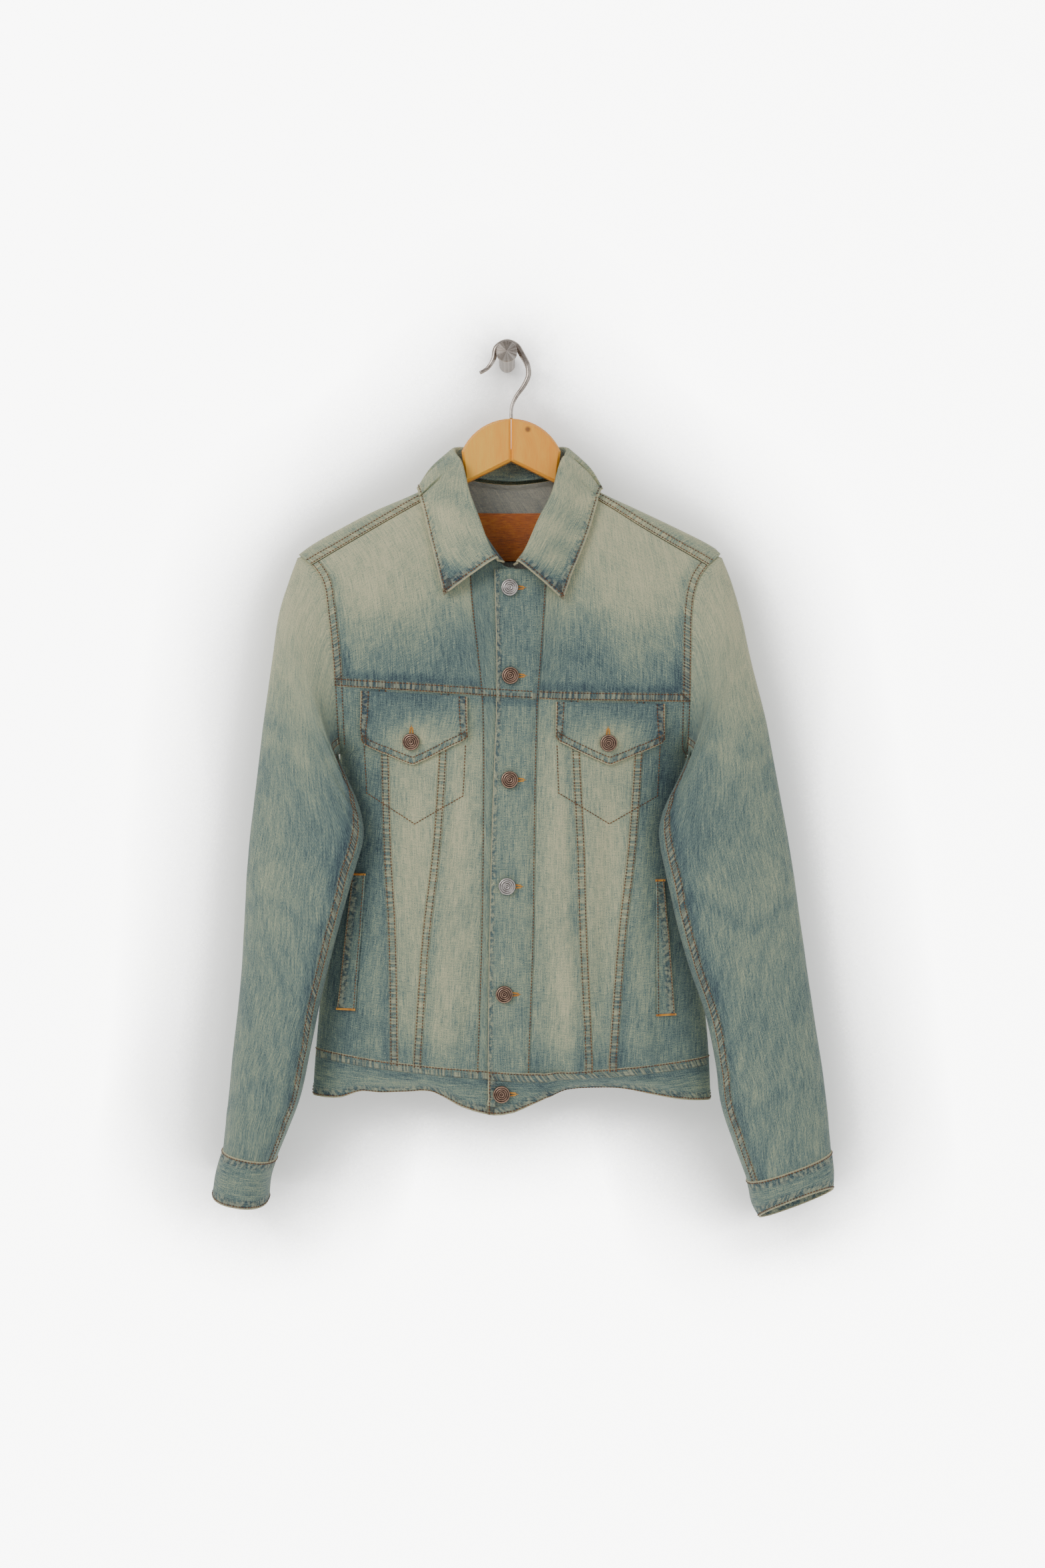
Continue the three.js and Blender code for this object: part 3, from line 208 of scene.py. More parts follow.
FORWARD_SEAM = table(
    "x z",
    (-197, -214.5), (-137, -179), (-89, -151.5), (-62, -138),
    (71, -138), (98, -151.5), (140, -178), (204, -215.5),
)
YOKE_SEAM = table("x z", (-175, -338), (-37, -347), (49, -352), (187, -354))
WAIST_SEAM = table(
    "x z", (-196, -704), (-115, -714), (-21, -721), (29, -723.5), (125, -719), (207, -712)
)
HEM = table(
    "x z tuck",
    (-200, -753, 0), (-168, -753, 4), (-147, -747, 14), (-127, -748, 17), (-101, -746.5, 18),
    (-77, -745, 15), (-62, -749.5, 6), (-44, -758, 0), (-15, -765, -3), (6, -763, -2),
    (37, -749, 6), (55, -743.5, 14), (90, -742, 19), (119, -743.5, 16), (149, -749.5, 8),
    (178, -755, 3), (209, -758, 0),
)
BACK_NECK = table(
    "x q",
    (-66, -17), (-59, -5), (-52, 7), (-36, 17), (4.5, 25), (45, 17), (61, 7), (68, -5), (75, -17),
)
BACK_YOKE_SEAM_Z = -322.0
BACK_SEAMS = table("z left right", (-322, -98, 107), (-520, -78, 87), (-712, -66, 75))
BACK_WAIST = table("x z", (-196, -704), (4.5, -709), (207, -712))
BACK_HEM = table("x z", (-200, -745), (4.5, -746), (209, -752))
print("tables for", BODY[0].keys())

# %% [markdown]
# ## Folds of the hanging cloth
# The body has soft upright folds where it hangs from the yoke and narrows at the waistband. The
# sleeves have shallow creases across them where the elbow bends in wear. Each fold is listed one
# by one: a ridge where rise is positive, a hollow where it is negative, in millimetres. lean is
# how far a fold drifts sideways for each millimetre downwards. The second group of folds is
# finer: the pleat by the left flap, the drag lines under the flaps and at the sides.

# %% Folds of the hanging cloth
FRONT_FOLDS = table(
    "x z long wide lean rise",
    (-150, -470, 80, 11, 0.1, 3), (-97, -590, 120, 12, 0.04, -3.5), (-62, -470, 90, 10, -0.12, 3),
    (-48, -620, 95, 12, -0.1, 3.5), (-140, -650, 60, 12, 0.12, 3), (52, -450, 100, 11, 0.03, 2.5),
    (62, -640, 80, 13, 0.08, 3.5), (100, -580, 125, 12, -0.06, -3.5), (138, -500, 85, 11, -0.08, 3),
    (140, -670, 50, 13, -0.1, 3), (-120, -275, 55, 14, 0.25, 2), (125, -280, 60, 14, -0.2, 2),
)
FRONT_CREASES = table(
    "x z long wide lean rise",
    (-33, -376, 24, 3.2, -0.16, -2.4), (-44, -440, 46, 4.5, 0.2, 1.1), (43, -400, 30, 4, 0.25, -1.2),
    (-56, -560, 60, 5, 0.12, 1.3), (-76, -655, 45, 5, 0.2, -1.3), (-40, -680, 28, 5, -0.3, -1.4),
    (44, -560, 60, 5, 0.06, 1.2), (72, -690, 24, 5, -0.4, 1.3), (-150, -560, 50, 5, 0.3, -1.2),
    (-172, -640, 42, 4.5, 0.25, 1.2), (150, -440, 34, 5, -0.5, -1.4), (166, -560, 55, 5, -0.2, 1.2),
    (156, -690, 20, 5, 0.4, -1.3), (-128, -690, 22, 5, -0.3, 1.4), (-150, -372, 26, 4.5, 0.4, -1.8),
    (168, -380, 28, 4.5, -0.4, -1.8), (-60, -300, 34, 6, 0.45, -0.9), (62, -310, 32, 6, -0.5, -0.9),
    (-95, -240, 40, 7, 0.6, 0.8), (100, -245, 40, 7, -0.6, 0.8), (8, -385, 20, 5, 0.7, -0.9),
    (6, -590, 40, 5, 0.1, 0.9), (10, -690, 24, 5, -0.2, -0.9), (-4, -480, 30, 5, 0.15, -0.7),
)
BACK_FOLDS = table(
    "x z long wide lean rise",
    (-130, -560, 110, 14, 0.08, -3), (-30, -600, 130, 13, -0.04, -2.5), (46, -540, 100, 14, 0.05, -3),
    (140, -600, 115, 13, -0.08, -3), (-70, -250, 50, 15, 0.4, -2.5), (85, -255, 55, 15, -0.4, -2.5),
    (-100, -450, 50, 6, -0.2, 1.2), (96, -470, 50, 6, 0.25, 1.2), (-10, -420, 60, 7, 0.1, -1.1),
    (20, -660, 40, 6, -0.2, 1.3), (-60, -670, 35, 6, 0.3, 1.2), (110, -680, 26, 6, -0.3, -1.3),
    (-150, -470, 60, 6, -0.2, 1.3), (165, -480, 60, 6, 0.2, 1.2), (0, -250, 46, 8, 0.1, 0.9),
)
SLEEVE_CREASES = table(
    "at turn spread long rise lean",
    (3.2, 1.9, 0.9, 0.35, -3, 0.25), (4.4, 1.3, 0.8, 0.4, 2.5, 0.25), (6.1, 1.7, 1.0, 0.4, -3, 0.25),
    (7.2, 1.2, 0.8, 0.35, 2, 0.25), (9.1, 1.6, 0.9, 0.4, -2.5, 0.25), (10.6, 1.4, 1.0, 0.4, 2.5, 0.25),
    (4.8, 4.6, 0.9, 0.45, -2, 0.25), (8.3, 4.8, 1.0, 0.5, -2, 0.25),
    (2.5, 2.3, 0.6, 0.16, -1.6, 0.5), (3.6, 2.2, 0.5, 0.13, 1.4, 0.55), (4.0, 2.4, 0.5, 0.12, -1.3, 0.5),
    (5.3, 1.0, 0.6, 0.15, -1.2, -0.3), (5.6, 2.2, 0.5, 0.14, 1.2, 0.4), (6.7, 2.1, 0.6, 0.13, 1.3, 0.45),
    (7.6, 1.9, 0.7, 0.15, -1.4, 0.3), (8.4, 1.2, 0.7, 0.16, 1.1, 0.2), (9.8, 2.0, 0.7, 0.15, 1.3, 0.3),
    (10.1, 1.0, 0.6, 0.14, -1.2, -0.2), (11.2, 1.9, 0.9, 0.14, -1.5, 0.15), (11.5, 1.2, 0.8, 0.12, 1.5, 0.1),
    (2.0, 4.4, 0.7, 0.2, 1.2, -0.3), (6.4, 4.4, 0.8, 0.2, 1.4, 0.2), (10.4, 4.7, 0.8, 0.2, -1.4, 0.2),
)
print(len(FRONT_CREASES) + len(BACK_FOLDS) + len(SLEEVE_CREASES), "finer folds")

# %% [markdown]
# ## The form of the body
# Seen from above, the hanging body is a long flat loop with round side folds. Over the hanger it
# bends in a half round, and further down it reaches its full depth. Every body piece, strip,
# flap and button is placed on this one form, so they stay on each other wherever it folds.


# %% The form of the body
def track(rows, by, column):
    """A smooth curve through one column of a table, looked up by another."""
    ordered = sorted(rows, key=lambda row: row[by])
    at = np.array([row[by] for row in ordered], float)
    value = np.array([row[column] for row in ordered], float)
    last = len(at) - 1
    after = np.minimum(np.arange(last + 1) + 1, last)
    before = np.maximum(np.arange(last + 1) - 1, 0)
    slope = (value[after] - value[before]) / (at[after] - at[before])

    def look_up(where):
        w = np.clip(where, at[0], at[-1])
        i = np.clip(np.searchsorted(at, w, side="left") - 1, 0, last - 1)
        step = at[i + 1] - at[i]
        t = (w - at[i]) / step
        rise = value[i + 1] - value[i]
        bend = slope[i] * step * (1 - t) - slope[i + 1] * step * t + rise * (2 * t - 1)
        return value[i] + rise * t + t * (1 - t) * bend

    return look_up


def mix(a, b, t):
    return a + (b - a) * t


def smooth(value, low, high):
    t = np.clip((value - low) / (high - low), 0, 1)
    return t * t * (3 - 2 * t)


def points(x, y, z):
    return np.stack(np.broadcast_arrays(x, y, z), axis=-1).astype(float)


ridge_z = track(RIDGE, "x", "z")
armhole = {hand: track(ARMHOLE, "z", hand) for hand in ("left", "right")}
side = {hand: track(BODY, "z", hand) for hand in ("left", "right")}
depth = {face: track(BODY, "z", face) for face in ("front", "back")}
neck_front = track(NECK_FRONT, "x", "z")
forward_seam = track(FORWARD_SEAM, "x", "z")
yoke_seam = track(YOKE_SEAM, "x", "z")
waist_seam = track(WAIST_SEAM, "x", "z")
WAIST_LAP = 4.0
under_waistband = lambda x: waist_seam(x) - WAIST_LAP
hem = track(HEM, "x", "z")
hem_tuck = track(HEM, "x", "tuck")
back_neck = track(BACK_NECK, "x", "q")
back_waist = track(BACK_WAIST, "x", "z")
back_hem = track(BACK_HEM, "x", "z")
overlap_edge = track(OVERLAP_EDGE, "z", "x")


SHOULDER_RADIUS = 9.5
NECK_SWELL = 13
NECK_SWELL_WIDTH = 52
SIDE_SET_BACK = 14
FALL_TO_FULL = 70


def ridge_radius(x):
    return SHOULDER_RADIUS + NECK_SWELL * np.exp(-(((x - CENTRE_X) / NECK_SWELL_WIDTH) ** 2))


def half_width(x, z):
    edge = np.where(x < CENTRE_X, CENTRE_X - side["left"](z), side["right"](z) - CENTRE_X)
    above = np.maximum(z - UNDERARM_Z, 0)
    return edge + 1.1 * above + 0.012 * above**2


def x_at_turn(turn, z):
    c = -np.cos(turn)
    u = np.sign(c) * np.abs(c) ** (2 / SIDE_POWER)
    return CENTRE_X + u * half_width(np.where(c < 0, CENTRE_X - 1, CENTRE_X + 1), z)


def turn_at_x(x, z):
    u = np.clip((x - CENTRE_X) / half_width(x, z), -1, 1)
    return np.arccos(-np.sign(u) * np.abs(u) ** (SIDE_POWER / 2))


def fold_rise(folds, x, z):
    total = np.zeros(np.broadcast(x, z).shape)
    for fold in folds:
        across = (x - fold["x"] - fold["lean"] * (fold["z"] - z)) / fold["wide"]
        down = (z - fold["z"]) / fold["long"]
        total = total + fold["rise"] * np.exp(-(across**2) - down**4)
    return total


def body_at(turn, z):
    behind = np.sin(turn) < 0
    x = x_at_turn(turn, z)
    roundness = np.abs(np.sin(turn)) ** (2 / SIDE_POWER)
    u = (x - CENTRE_X) / half_width(x, z)
    set_back = SIDE_SET_BACK * u**2 * (1 - smooth(z, -470, -340))
    r = ridge_radius(x)
    below = np.maximum(ridge_z(x) - z, 0)
    over = np.where(below < r, np.sqrt(np.maximum(r**2 - (r - below) ** 2, 0)), r)
    fall = np.where(below > r, 1 - np.exp((r - below) / FALL_TO_FULL), 0)
    full = np.where(behind, depth["back"](z), depth["front"](z))
    front = fold_rise(FRONT_FOLDS + FRONT_CREASES, x, z)
    folds = np.where(behind, fold_rise(BACK_FOLDS, x, z), front) * np.minimum(roundness * 1.2, 1)
    out = (over + (full - r) * fall + folds) * roundness
    return points(x, HANG_Y + set_back + np.where(behind, out, -out), z)


def body_on(x, z, sign):
    return body_at(-sign * turn_at_x(x, z), z)


def over_ridge_at(x, q):
    """A point by its path over the shoulder ridge: q is negative in front, positive behind."""
    r = ridge_radius(x)
    quarter = r * math.pi / 2
    path = np.abs(q)
    below = np.where(path < quarter, r * (1 - np.cos(path / r)), r + path - quarter)
    return body_on(x, ridge_z(x) - below, np.where(q < 0, -1, 1))


def path_below_ridge(x, z):
    r = ridge_radius(x)
    below = np.maximum(ridge_z(x) - z, 0)
    bent = r * np.arccos(np.clip(1 - below / r, -1, 1))
    return np.where(below < r, bent, below - r + r * math.pi / 2)


print("chest front at", body_on(50.0, -300.0, -1).round(1))

# %% [markdown]
# ## Making a piece of cloth
# A cut piece is a closed wall: a fine grid of outer points, the same points moved in by the
# cloth's thickness, and a rounded rim between them, which two modifiers add to a grid. The wall
# carries what its finish needs: the distance across and along the piece in metres, the distance
# to its nearest seam and along it, the distance to its nearest worn edge, and how much of its
# blue is left at each point, which on the fronts also holds painted shade down the sides.


# %% Making a piece of cloth
CLOTH_GRIDS = {}


def unit(vectors):
    return vectors / np.maximum(np.linalg.norm(vectors, axis=-1, keepdims=True), 1e-9)


def normal_of(sheet, s, v, flip):
    e = 1e-3
    along = sheet(s + e, v) - sheet(s - e, v)
    down = sheet(s, v + e) - sheet(s, v - e)
    return unit(np.cross(along, down)) * flip


def lengths(grid, axis):
    steps = np.linalg.norm(np.diff(grid, axis=axis), axis=-1)
    start = np.zeros_like(np.take(steps, [0], axis=axis))
    return np.concatenate([start, np.cumsum(steps, axis=axis)], axis=axis)


def edge_distances(grid, edges):
    """Distance to the nearest of the named edges, and the distance along that edge, in mm."""
    across = lengths(grid, 1)
    down = lengths(grid, 0)
    found = {
        "left": (across, down),
        "right": (across[:, -1:] - across, down),
        "top": (down, across),
        "bottom": (down[-1:] - down, across),
    }
    nearest = np.full(across.shape, 900.0)
    run = np.zeros(across.shape)
    for number, edge in enumerate(edges):
        away, on = found[edge]
        closer = away < nearest
        nearest = np.where(closer, away, nearest)
        run = np.where(closer, on + 137.0 * number, run)
    return nearest, run


def cloth(name, sheet, columns, rows, **options):
    s, v = np.meshgrid(np.linspace(0, 1, columns + 1), np.linspace(0, 1, rows + 1))
    normal = options.get("normal")
    n = normal(s, v) if normal else normal_of(sheet, s, v, options.get("flip", 1))
    lift = options.get("lift", 0.0)
    lift = lift(s) if callable(lift) else np.full(s.shape, lift)
    outer = sheet(s, v) + n * lift[..., None]
    draw_back(outer)
    CLOTH_GRIDS[name] = (outer, n)
    bm = bmesh.new()
    bmesh.ops.create_grid(bm, x_segments=columns, y_segments=rows, size=1)
    for vert, place in zip(bm.verts, outer.reshape(-1, 3) * MM):
        vert.co = place
    bm.normal_update()
    bm.verts.ensure_lookup_table()
    middle = bm.verts[rows // 2 * (columns + 1) + columns // 2]
    if middle.normal.dot(Vector(n[rows // 2, columns // 2])) < 0:
        bmesh.ops.reverse_faces(bm, faces=bm.faces)
    mesh = bpy.data.meshes.new(name + "_cloth")
    bm.to_mesh(mesh)
    bm.free()
    mesh.shade_smooth()
    store_finish(mesh, outer, options)
    return wall_of_cloth(name, mesh, options)


HALF_SEAM_GAP = 0.03
RIM_ROUNDING = 0.45


def draw_back(outer):
    """Moves the edges in a little, so that neighbours don't share a line."""
    for edge, towards in ((0, 1), (-1, -2)):
        outer[edge] += unit(outer[towards] - outer[edge]) * HALF_SEAM_GAP
        outer[:, edge] += unit(outer[:, towards] - outer[:, edge]) * HALF_SEAM_GAP


def store_finish(mesh, outer, options):
    seam, run = edge_distances(outer, options.get("seams", ()))
    worn, edge = edge_distances(outer, options.get("worn", ()))
    worn = worn * options.get("worn_narrowing", 1)
    if "crossing" in options:
        below = options["crossing"](outer)
        seam = np.where(below > 0, below, seam)
        run = np.where(below > 0, outer[..., 0], run)
    values = {
        "across": lengths(outer, 1) * MM,
        "down": lengths(outer, 0) * MM,
        "seam": seam * MM,
        "run": run * MM,
        "worn": worn * MM,
        "edge": edge * MM,
        "blue": options["blue"](outer),
    }
    for name, value in values.items():
        attribute = mesh.attributes.new(name, "FLOAT", "POINT")
        attribute.data.foreach_set("value", value.reshape(-1).astype(np.float32))


def wall_of_cloth(name, mesh, options):
    piece = bpy.data.objects.new(name + "_cloth", mesh)
    bpy.context.scene.collection.objects.link(piece)
    solid = piece.modifiers.new("thickness", "SOLIDIFY")
    solid.thickness = options.get("thickness", CLOTH) * MM
    solid.offset = -1
    solid.material_offset = 1
    solid.material_offset_rim = 0
    rim = piece.modifiers.new("soft rim", "BEVEL")
    rim.width = RIM_ROUNDING * MM
    rim.segments = 2
    rim.limit_method = "ANGLE"
    rim.angle_limit = math.radians(60)
    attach(piece, "root")
    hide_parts(name)
    PIECES[name] = piece
    return piece


PIECES = {}
print("cloth is", CLOTH, "mm, strips", STRIP, "mm")

# %% [markdown]
# ## Where the blue has worn away
# The jacket was washed and sanded: the shoulders, the tops of the yokes and sleeves and the
# middles of the panels are pale sage, and the blue is left along the yoke seam, beside the
# seams, on the button strip and down the sides. The deeper blue down the sides of the fronts is
# partly that dye and partly painted shade under the sleeves. blue is 0 where the cloth is palest
# and 1 where it is deepest. Pale patches are listed, each with its size and how much they take
# away.


# %% Where the blue has worn away
# The patches with positive blue down the sides of the fronts, below the sleeves, are partly blue left in the
# dye and partly painted shade under the sleeves.
FRONT_WEAR_AND_SHADE = table(
    "x z wide high blue",
    (-90, -390, 30, 18, -0.28), (102, -392, 32, 18, -0.28), (-93, -520, 26, 130, -0.22),
    (-50, -480, 20, 150, -0.2), (-72, -665, 28, 60, -0.22), (100, -520, 26, 130, -0.22),
    (52, -500, 18, 150, -0.2), (60, -660, 22, 60, -0.24), (-145, -520, 22, 90, 0.34),
    (-165, -620, 24, 90, 0.28), (160, -480, 22, 90, 0.32), (178, -600, 24, 90, 0.26),
    (-155, -425, 20, 40, 0.18), (165, -420, 20, 40, 0.2), (-130, -240, 60, 34, -0.1),
    (130, -240, 60, 34, -0.1), (-60, -230, 30, 40, 0.12), (66, -240, 30, 40, 0.1),
    (-56, -292, 46, 34, 0.2), (64, -296, 44, 34, 0.18),
)
PANEL_BLUE = table(
    "z blue",
    (-120, 0.1), (-200, 0.16), (-250, 0.28), (-285, 0.42), (-315, 0.56), (-343, 0.65),
    (-362, 0.56), (-400, 0.42), (-560, 0.42), (-680, 0.5), (-722, 0.62), (-760, 0.6),
)
STRIP_BLUE = table(
    "z blue",
    (-120, 0.45), (-220, 0.58), (-300, 0.6), (-343, 0.62),
    (-400, 0.5), (-560, 0.46), (-722, 0.52), (-760, 0.56),
)
SLEEVE_BLUE = table(
    "z blue",
    (-200, 0.1), (-280, 0.15), (-340, 0.27), (-375, 0.4), (-392, 0.47), (-404, 0.4), (-420, 0.5),
    (-500, 0.52), (-552, 0.47), (-564, 0.56), (-578, 0.47), (-640, 0.56), (-735, 0.52), (-748, 0.6),
    (-765, 0.54), (-880, 0.58),
)
panel_blue = track(PANEL_BLUE, "z", "blue")
strip_blue = track(STRIP_BLUE, "z", "blue")
sleeve_blue = track(SLEEVE_BLUE, "z", "blue")


# Pale patches, and down the sides patches that are partly painted shade under the sleeves.
def wear_and_shade_at(grid):
    x, y, z = grid[..., 0], grid[..., 1], grid[..., 2]
    total = np.zeros(x.shape)
    for patch in FRONT_WEAR_AND_SHADE:
        spot = ((x - patch["x"]) / patch["wide"]) ** 2 + ((z - patch["z"]) / patch["high"]) ** 2
        total = total + patch["blue"] * np.exp(-spot)
    return np.where(y < HANG_Y, total, 0)


# On the fronts this includes the painted shade down the sides.
def blue_and_shade_of_panel(grid):
    return panel_blue(grid[..., 2]) + wear_and_shade_at(grid)


def blue_of_strip(grid):
    return strip_blue(grid[..., 2]) + 0.4 * wear_and_shade_at(grid)


def blue_of_sleeve(grid):
    x, z = grid[..., 0], grid[..., 2]
    inner = 1 - smooth(np.abs(x - CENTRE_X), 150, 235)
    return sleeve_blue(z + 14 * np.sin(x / 17)) + 0.14 * inner


def blue_of_collar(grid):
    x, z = grid[..., 0], grid[..., 2]
    rise = np.linspace(0, 1, len(grid))[:, None]
    stand = 0.4 * (1 - smooth(rise, 0.3, 0.5))
    return stand + 0.24 + 0.12 * np.sin(x / 13 + z / 9) * np.cos(z / 17) + 0.5 * smooth(-z, 185, 248)


print("blue left at the yoke seam", float(panel_blue(-343.0)))

# %% [markdown]
# ## Fronts and backs
# A cut panel is bounded by two seams that run down and two that run across, so its sheet is the
# part of the body's form between those four lines. The fronts have a yoke and, below it, a
# centre, a wedge and a side panel on each side. The back has a wide centre and two sides.


# %% Fronts
def panel_sheet(left, right, top, bottom, sign):
    def sheet(s, v):
        x = 0.5 * (left(-400.0) + right(-400.0)) + 0 * s
        for _ in range(24):
            z = mix(top(x), bottom(x), v)
            turn = mix(turn_at_x(left(z), z), turn_at_x(right(z), z), s)
            x = 0.4 * x + 0.6 * x_at_turn(turn, z)
        turn = mix(turn_at_x(left(z), z), turn_at_x(right(z), z), s)
        return body_at(-sign * turn, z)

    return sheet


dart = {name: track(DART_SEAMS, "z", name) for name in DART_SEAMS[0] if name != "z"}
placket = {hand: track(FRONT_SEAMS, "z", hand) for hand in ("left", "right")}


def outer_edge(hand):
    inwards = 0.003 if hand == "left" else -0.003
    return lambda z: np.where(z > UNDERARM_Z, armhole[hand](z), side[hand](z) + inwards)


NECK_ENDS = (-62, 71)
FORWARD_SEAM_GAP = 0.9


def yoke_top(x):
    on_shoulder = (x < NECK_ENDS[0]) | (x > NECK_ENDS[1])
    return np.where(on_shoulder, forward_seam(x) - FORWARD_SEAM_GAP, neck_front(x))


def front(name, left, right, top, bottom, grid, seams, slot="body_denim"):
    sheet = panel_sheet(left, right, top, bottom, -1)
    cloth(name, sheet, *grid, flip=-1, slot=slot, seams=seams, blue=blue_and_shade_of_panel)


yoke_lines = (yoke_top, yoke_seam)
front(
    "front_yoke_left", armhole["left"], placket["left"], *yoke_lines, (40, 48), ("left", "bottom"),
    "yoke_denim",
)
front(
    "front_yoke_right", placket["right"], armhole["right"], *yoke_lines, (40, 48), ("right", "bottom"),
    "yoke_denim",
)
lower_lines = (yoke_seam, under_waistband)
front("front_side_left", outer_edge("left"), dart["left_outer"], *lower_lines, (26, 84), ("right",))
front("front_wedge_left", dart["left_outer"], dart["left_inner"], *lower_lines, (14, 84), ())
front("front_centre_left", dart["left_inner"], placket["left"], *lower_lines, (16, 84), ("left",))
front("front_centre_right", placket["right"], dart["right_inner"], *lower_lines, (16, 84), ("right",))
front("front_wedge_right", dart["right_inner"], dart["right_outer"], *lower_lines, (14, 84), ())
front("front_side_right", dart["right_outer"], outer_edge("right"), *lower_lines, (26, 84), ("left",))
print("fronts:", len(PIECES), "pieces")


# %% Backs
def back_yoke_sheet(column, v):
    """Wraps over the shoulder ridge, from the forward seam to the seam across the back."""
    s = column + yoke_spread(column) - np.clip(column, 0, 1)
    x = mix(-180.0, 190.0, s)
    for _ in range(40):
        start = np.where((x > -66) & (x < 75), back_neck(x), -path_below_ridge(x, forward_seam(x)))
        over = np.maximum(start + 6, 18)
        first = mix(start, over, v / OVER_RIDGE_ROWS)
        low = path_below_ridge(x, BACK_YOKE_SEAM_Z)
        then = mix(over, low, (v - OVER_RIDGE_ROWS) / (1 - OVER_RIDGE_ROWS))
        q = np.where(v < OVER_RIDGE_ROWS, first, then)
        z = over_ridge_at(x, q)[..., 2]
        x = 0.6 * x + 0.4 * mix(armhole["left"](z), armhole["right"](z), s)
    return over_ridge_at(x, q)


OVER_RIDGE_ROWS = 0.4
YOKE_COLUMNS = table("s across", (0, 0), (0.25, 0.29), (0.4, 0.37), (0.6, 0.63), (0.75, 0.71), (1, 1))
yoke_spread = track(YOKE_COLUMNS, "s", "across")
cloth("back_yoke", back_yoke_sheet, 104, 62, slot="yoke_denim", seams=("top", "bottom"), blue=blue_and_shade_of_panel)

back = {hand: track(BACK_SEAMS, "z", hand) for hand in ("left", "right")}


def back_panel(name, left, right, columns, seams):
    top = lambda x: BACK_YOKE_SEAM_Z + 0 * x
    sheet = panel_sheet(left, right, top, lambda x: back_waist(x) - WAIST_LAP, 1)
    cloth(name, sheet, columns, 86, slot="body_denim", seams=seams, blue=blue_and_shade_of_panel)


back_panel("back_side_left", outer_edge("left"), back["left"], 30, ("right",))
back_panel("back_centre", back["left"], back["right"], 44, ())
back_panel("back_side_right", back["right"], outer_edge("right"), 30, ("left",))
print("backs too:", len(PIECES), "pieces")

# %% [markdown]
# ## Button strips and waistband
# The strip with the buttonholes lies over the other one and is thicker than the panels. Both
# are folded strips. The waistband is one strip from under the overlap round the back to the
# overlapping end. It rolls under at the front, and it is drawn into short upright ridges.

# %% Button strips and waistband
YOKE_BAND = 8.5


def below_yoke_band(outer):
    """The yoke's felled seam goes on across the button strips: the distance below its top."""
    below = yoke_seam(outer[..., 0]) + YOKE_BAND - outer[..., 2]
    return np.where((below > 0) & (below < YOKE_BAND * 2.4), below, 0)


def below_collar(x):
    return np.minimum(neck_front(x), -221)


cloth(
    "placket_left",
    panel_sheet(placket["left"], lambda z: overlap_edge(z) + 20, neck_front, under_waistband, -1),
    12, 120, flip=-1, slot="strip_denim", blue=blue_of_strip, crossing=below_yoke_band,
)
cloth(
    "placket_right",
    panel_sheet(overlap_edge, placket["right"], below_collar, under_waistband, -1),
    20, 110, flip=-1, lift=lambda s: (STRIP + LAY_GAP) * (1 - smooth(s, 0.74, 1.0)) + 0.1, thickness=STRIP,
    slot="strip_denim", worn=("left",), worn_narrowing=1.8, blue=blue_of_strip, crossing=below_yoke_band,
)

WAISTBAND_RIDGES = table(
    "x wide rise",
    (-186, 3, -0.9), (-172, 4, 0.8), (-158, 3, -0.8), (-139, 4, 0.9), (-118, 3, -0.7), (-101, 4, 0.8),
    (-86, 3, -0.7), (-66, 4, 0.9), (-47, 3, -0.8), (-31, 3, 0.6), (40, 3, -0.7), (57, 4, 0.9),
    (74, 3, -0.8), (92, 4, 0.7), (109, 3, -0.8), (127, 4, 0.9), (146, 3, -0.9), (163, 4, 0.8),
    (178, 3, -0.9), (193, 4, 0.8),
)
WAISTBAND_FOLDS = table(
    "x z long wide lean rise",
    (48, -741, 34, 3.2, 0.34, 2.2), (110, -731, 46, 3.0, -0.12, 1.8), (158, -739, 34, 3.2, -0.2, 1.6),
    (86, -745, 26, 2.6, 0.1, -1.4), (-120, -733, 30, 3.0, 0.1, 1.8), (-74, -736, 26, 3.0, -0.16, 2.0),
    (-150, -738, 24, 2.8, 0.22, 1.6), (-36, -743, 26, 3.2, -0.4, 1.8), (-98, -742, 22, 2.6, 0.05, -1.4),
)
WAISTBAND_MIDDLE = -735.0
waist_start = turn_at_x(overlap_edge(WAISTBAND_MIDDLE) + 24, WAISTBAND_MIDDLE)
waist_end = turn_at_x(overlap_edge(WAISTBAND_MIDDLE), WAISTBAND_MIDDLE) - 2 * math.pi


def waistband_sheet(s, v):
    turn = mix(waist_start, waist_end, s)
    behind = np.sin(turn) < 0
    x = x_at_turn(turn, WAISTBAND_MIDDLE)
    high = np.where(behind, back_waist(x), waist_seam(x))
    low = np.where(behind, back_hem(x), hem(x))
    point = body_at(turn, mix(high, low, v))
    ridges = sum(r["rise"] * np.exp(-(((x - r["x"]) / r["wide"]) ** 2)) for r in WAISTBAND_RIDGES)
    z = point[..., 2]
    for fold in WAISTBAND_FOLDS:
        away = x - fold["x"]
        across = (z - fold["z"] - fold["lean"] * away) / fold["wide"]
        folded = fold["rise"] * np.exp(-((away / fold["long"]) ** 2) - across**2)
        ridges = ridges + np.where(behind, 0, folded)
    out = ridges * np.sin(math.pi * np.clip(v, 0, 1)) ** 0.5 * np.abs(np.sin(turn)) ** 0.5
    point[..., 1] += np.where(behind, out, hem_tuck(x) * v**2 - out)
    return point


def waistband_lift(s):
    return (STRIP + LAY_GAP + 0.3) * smooth(s, 0.953, 0.969) + 0.1


cloth(
    "waistband", waistband_sheet, 240, 24, thickness=STRIP, lift=waistband_lift, slot="strip_denim",
    worn=("bottom", "right"), seams=("top",), blue=blue_of_strip,
)
print("waistband from turn", float(waist_start), "to", float(waist_end))

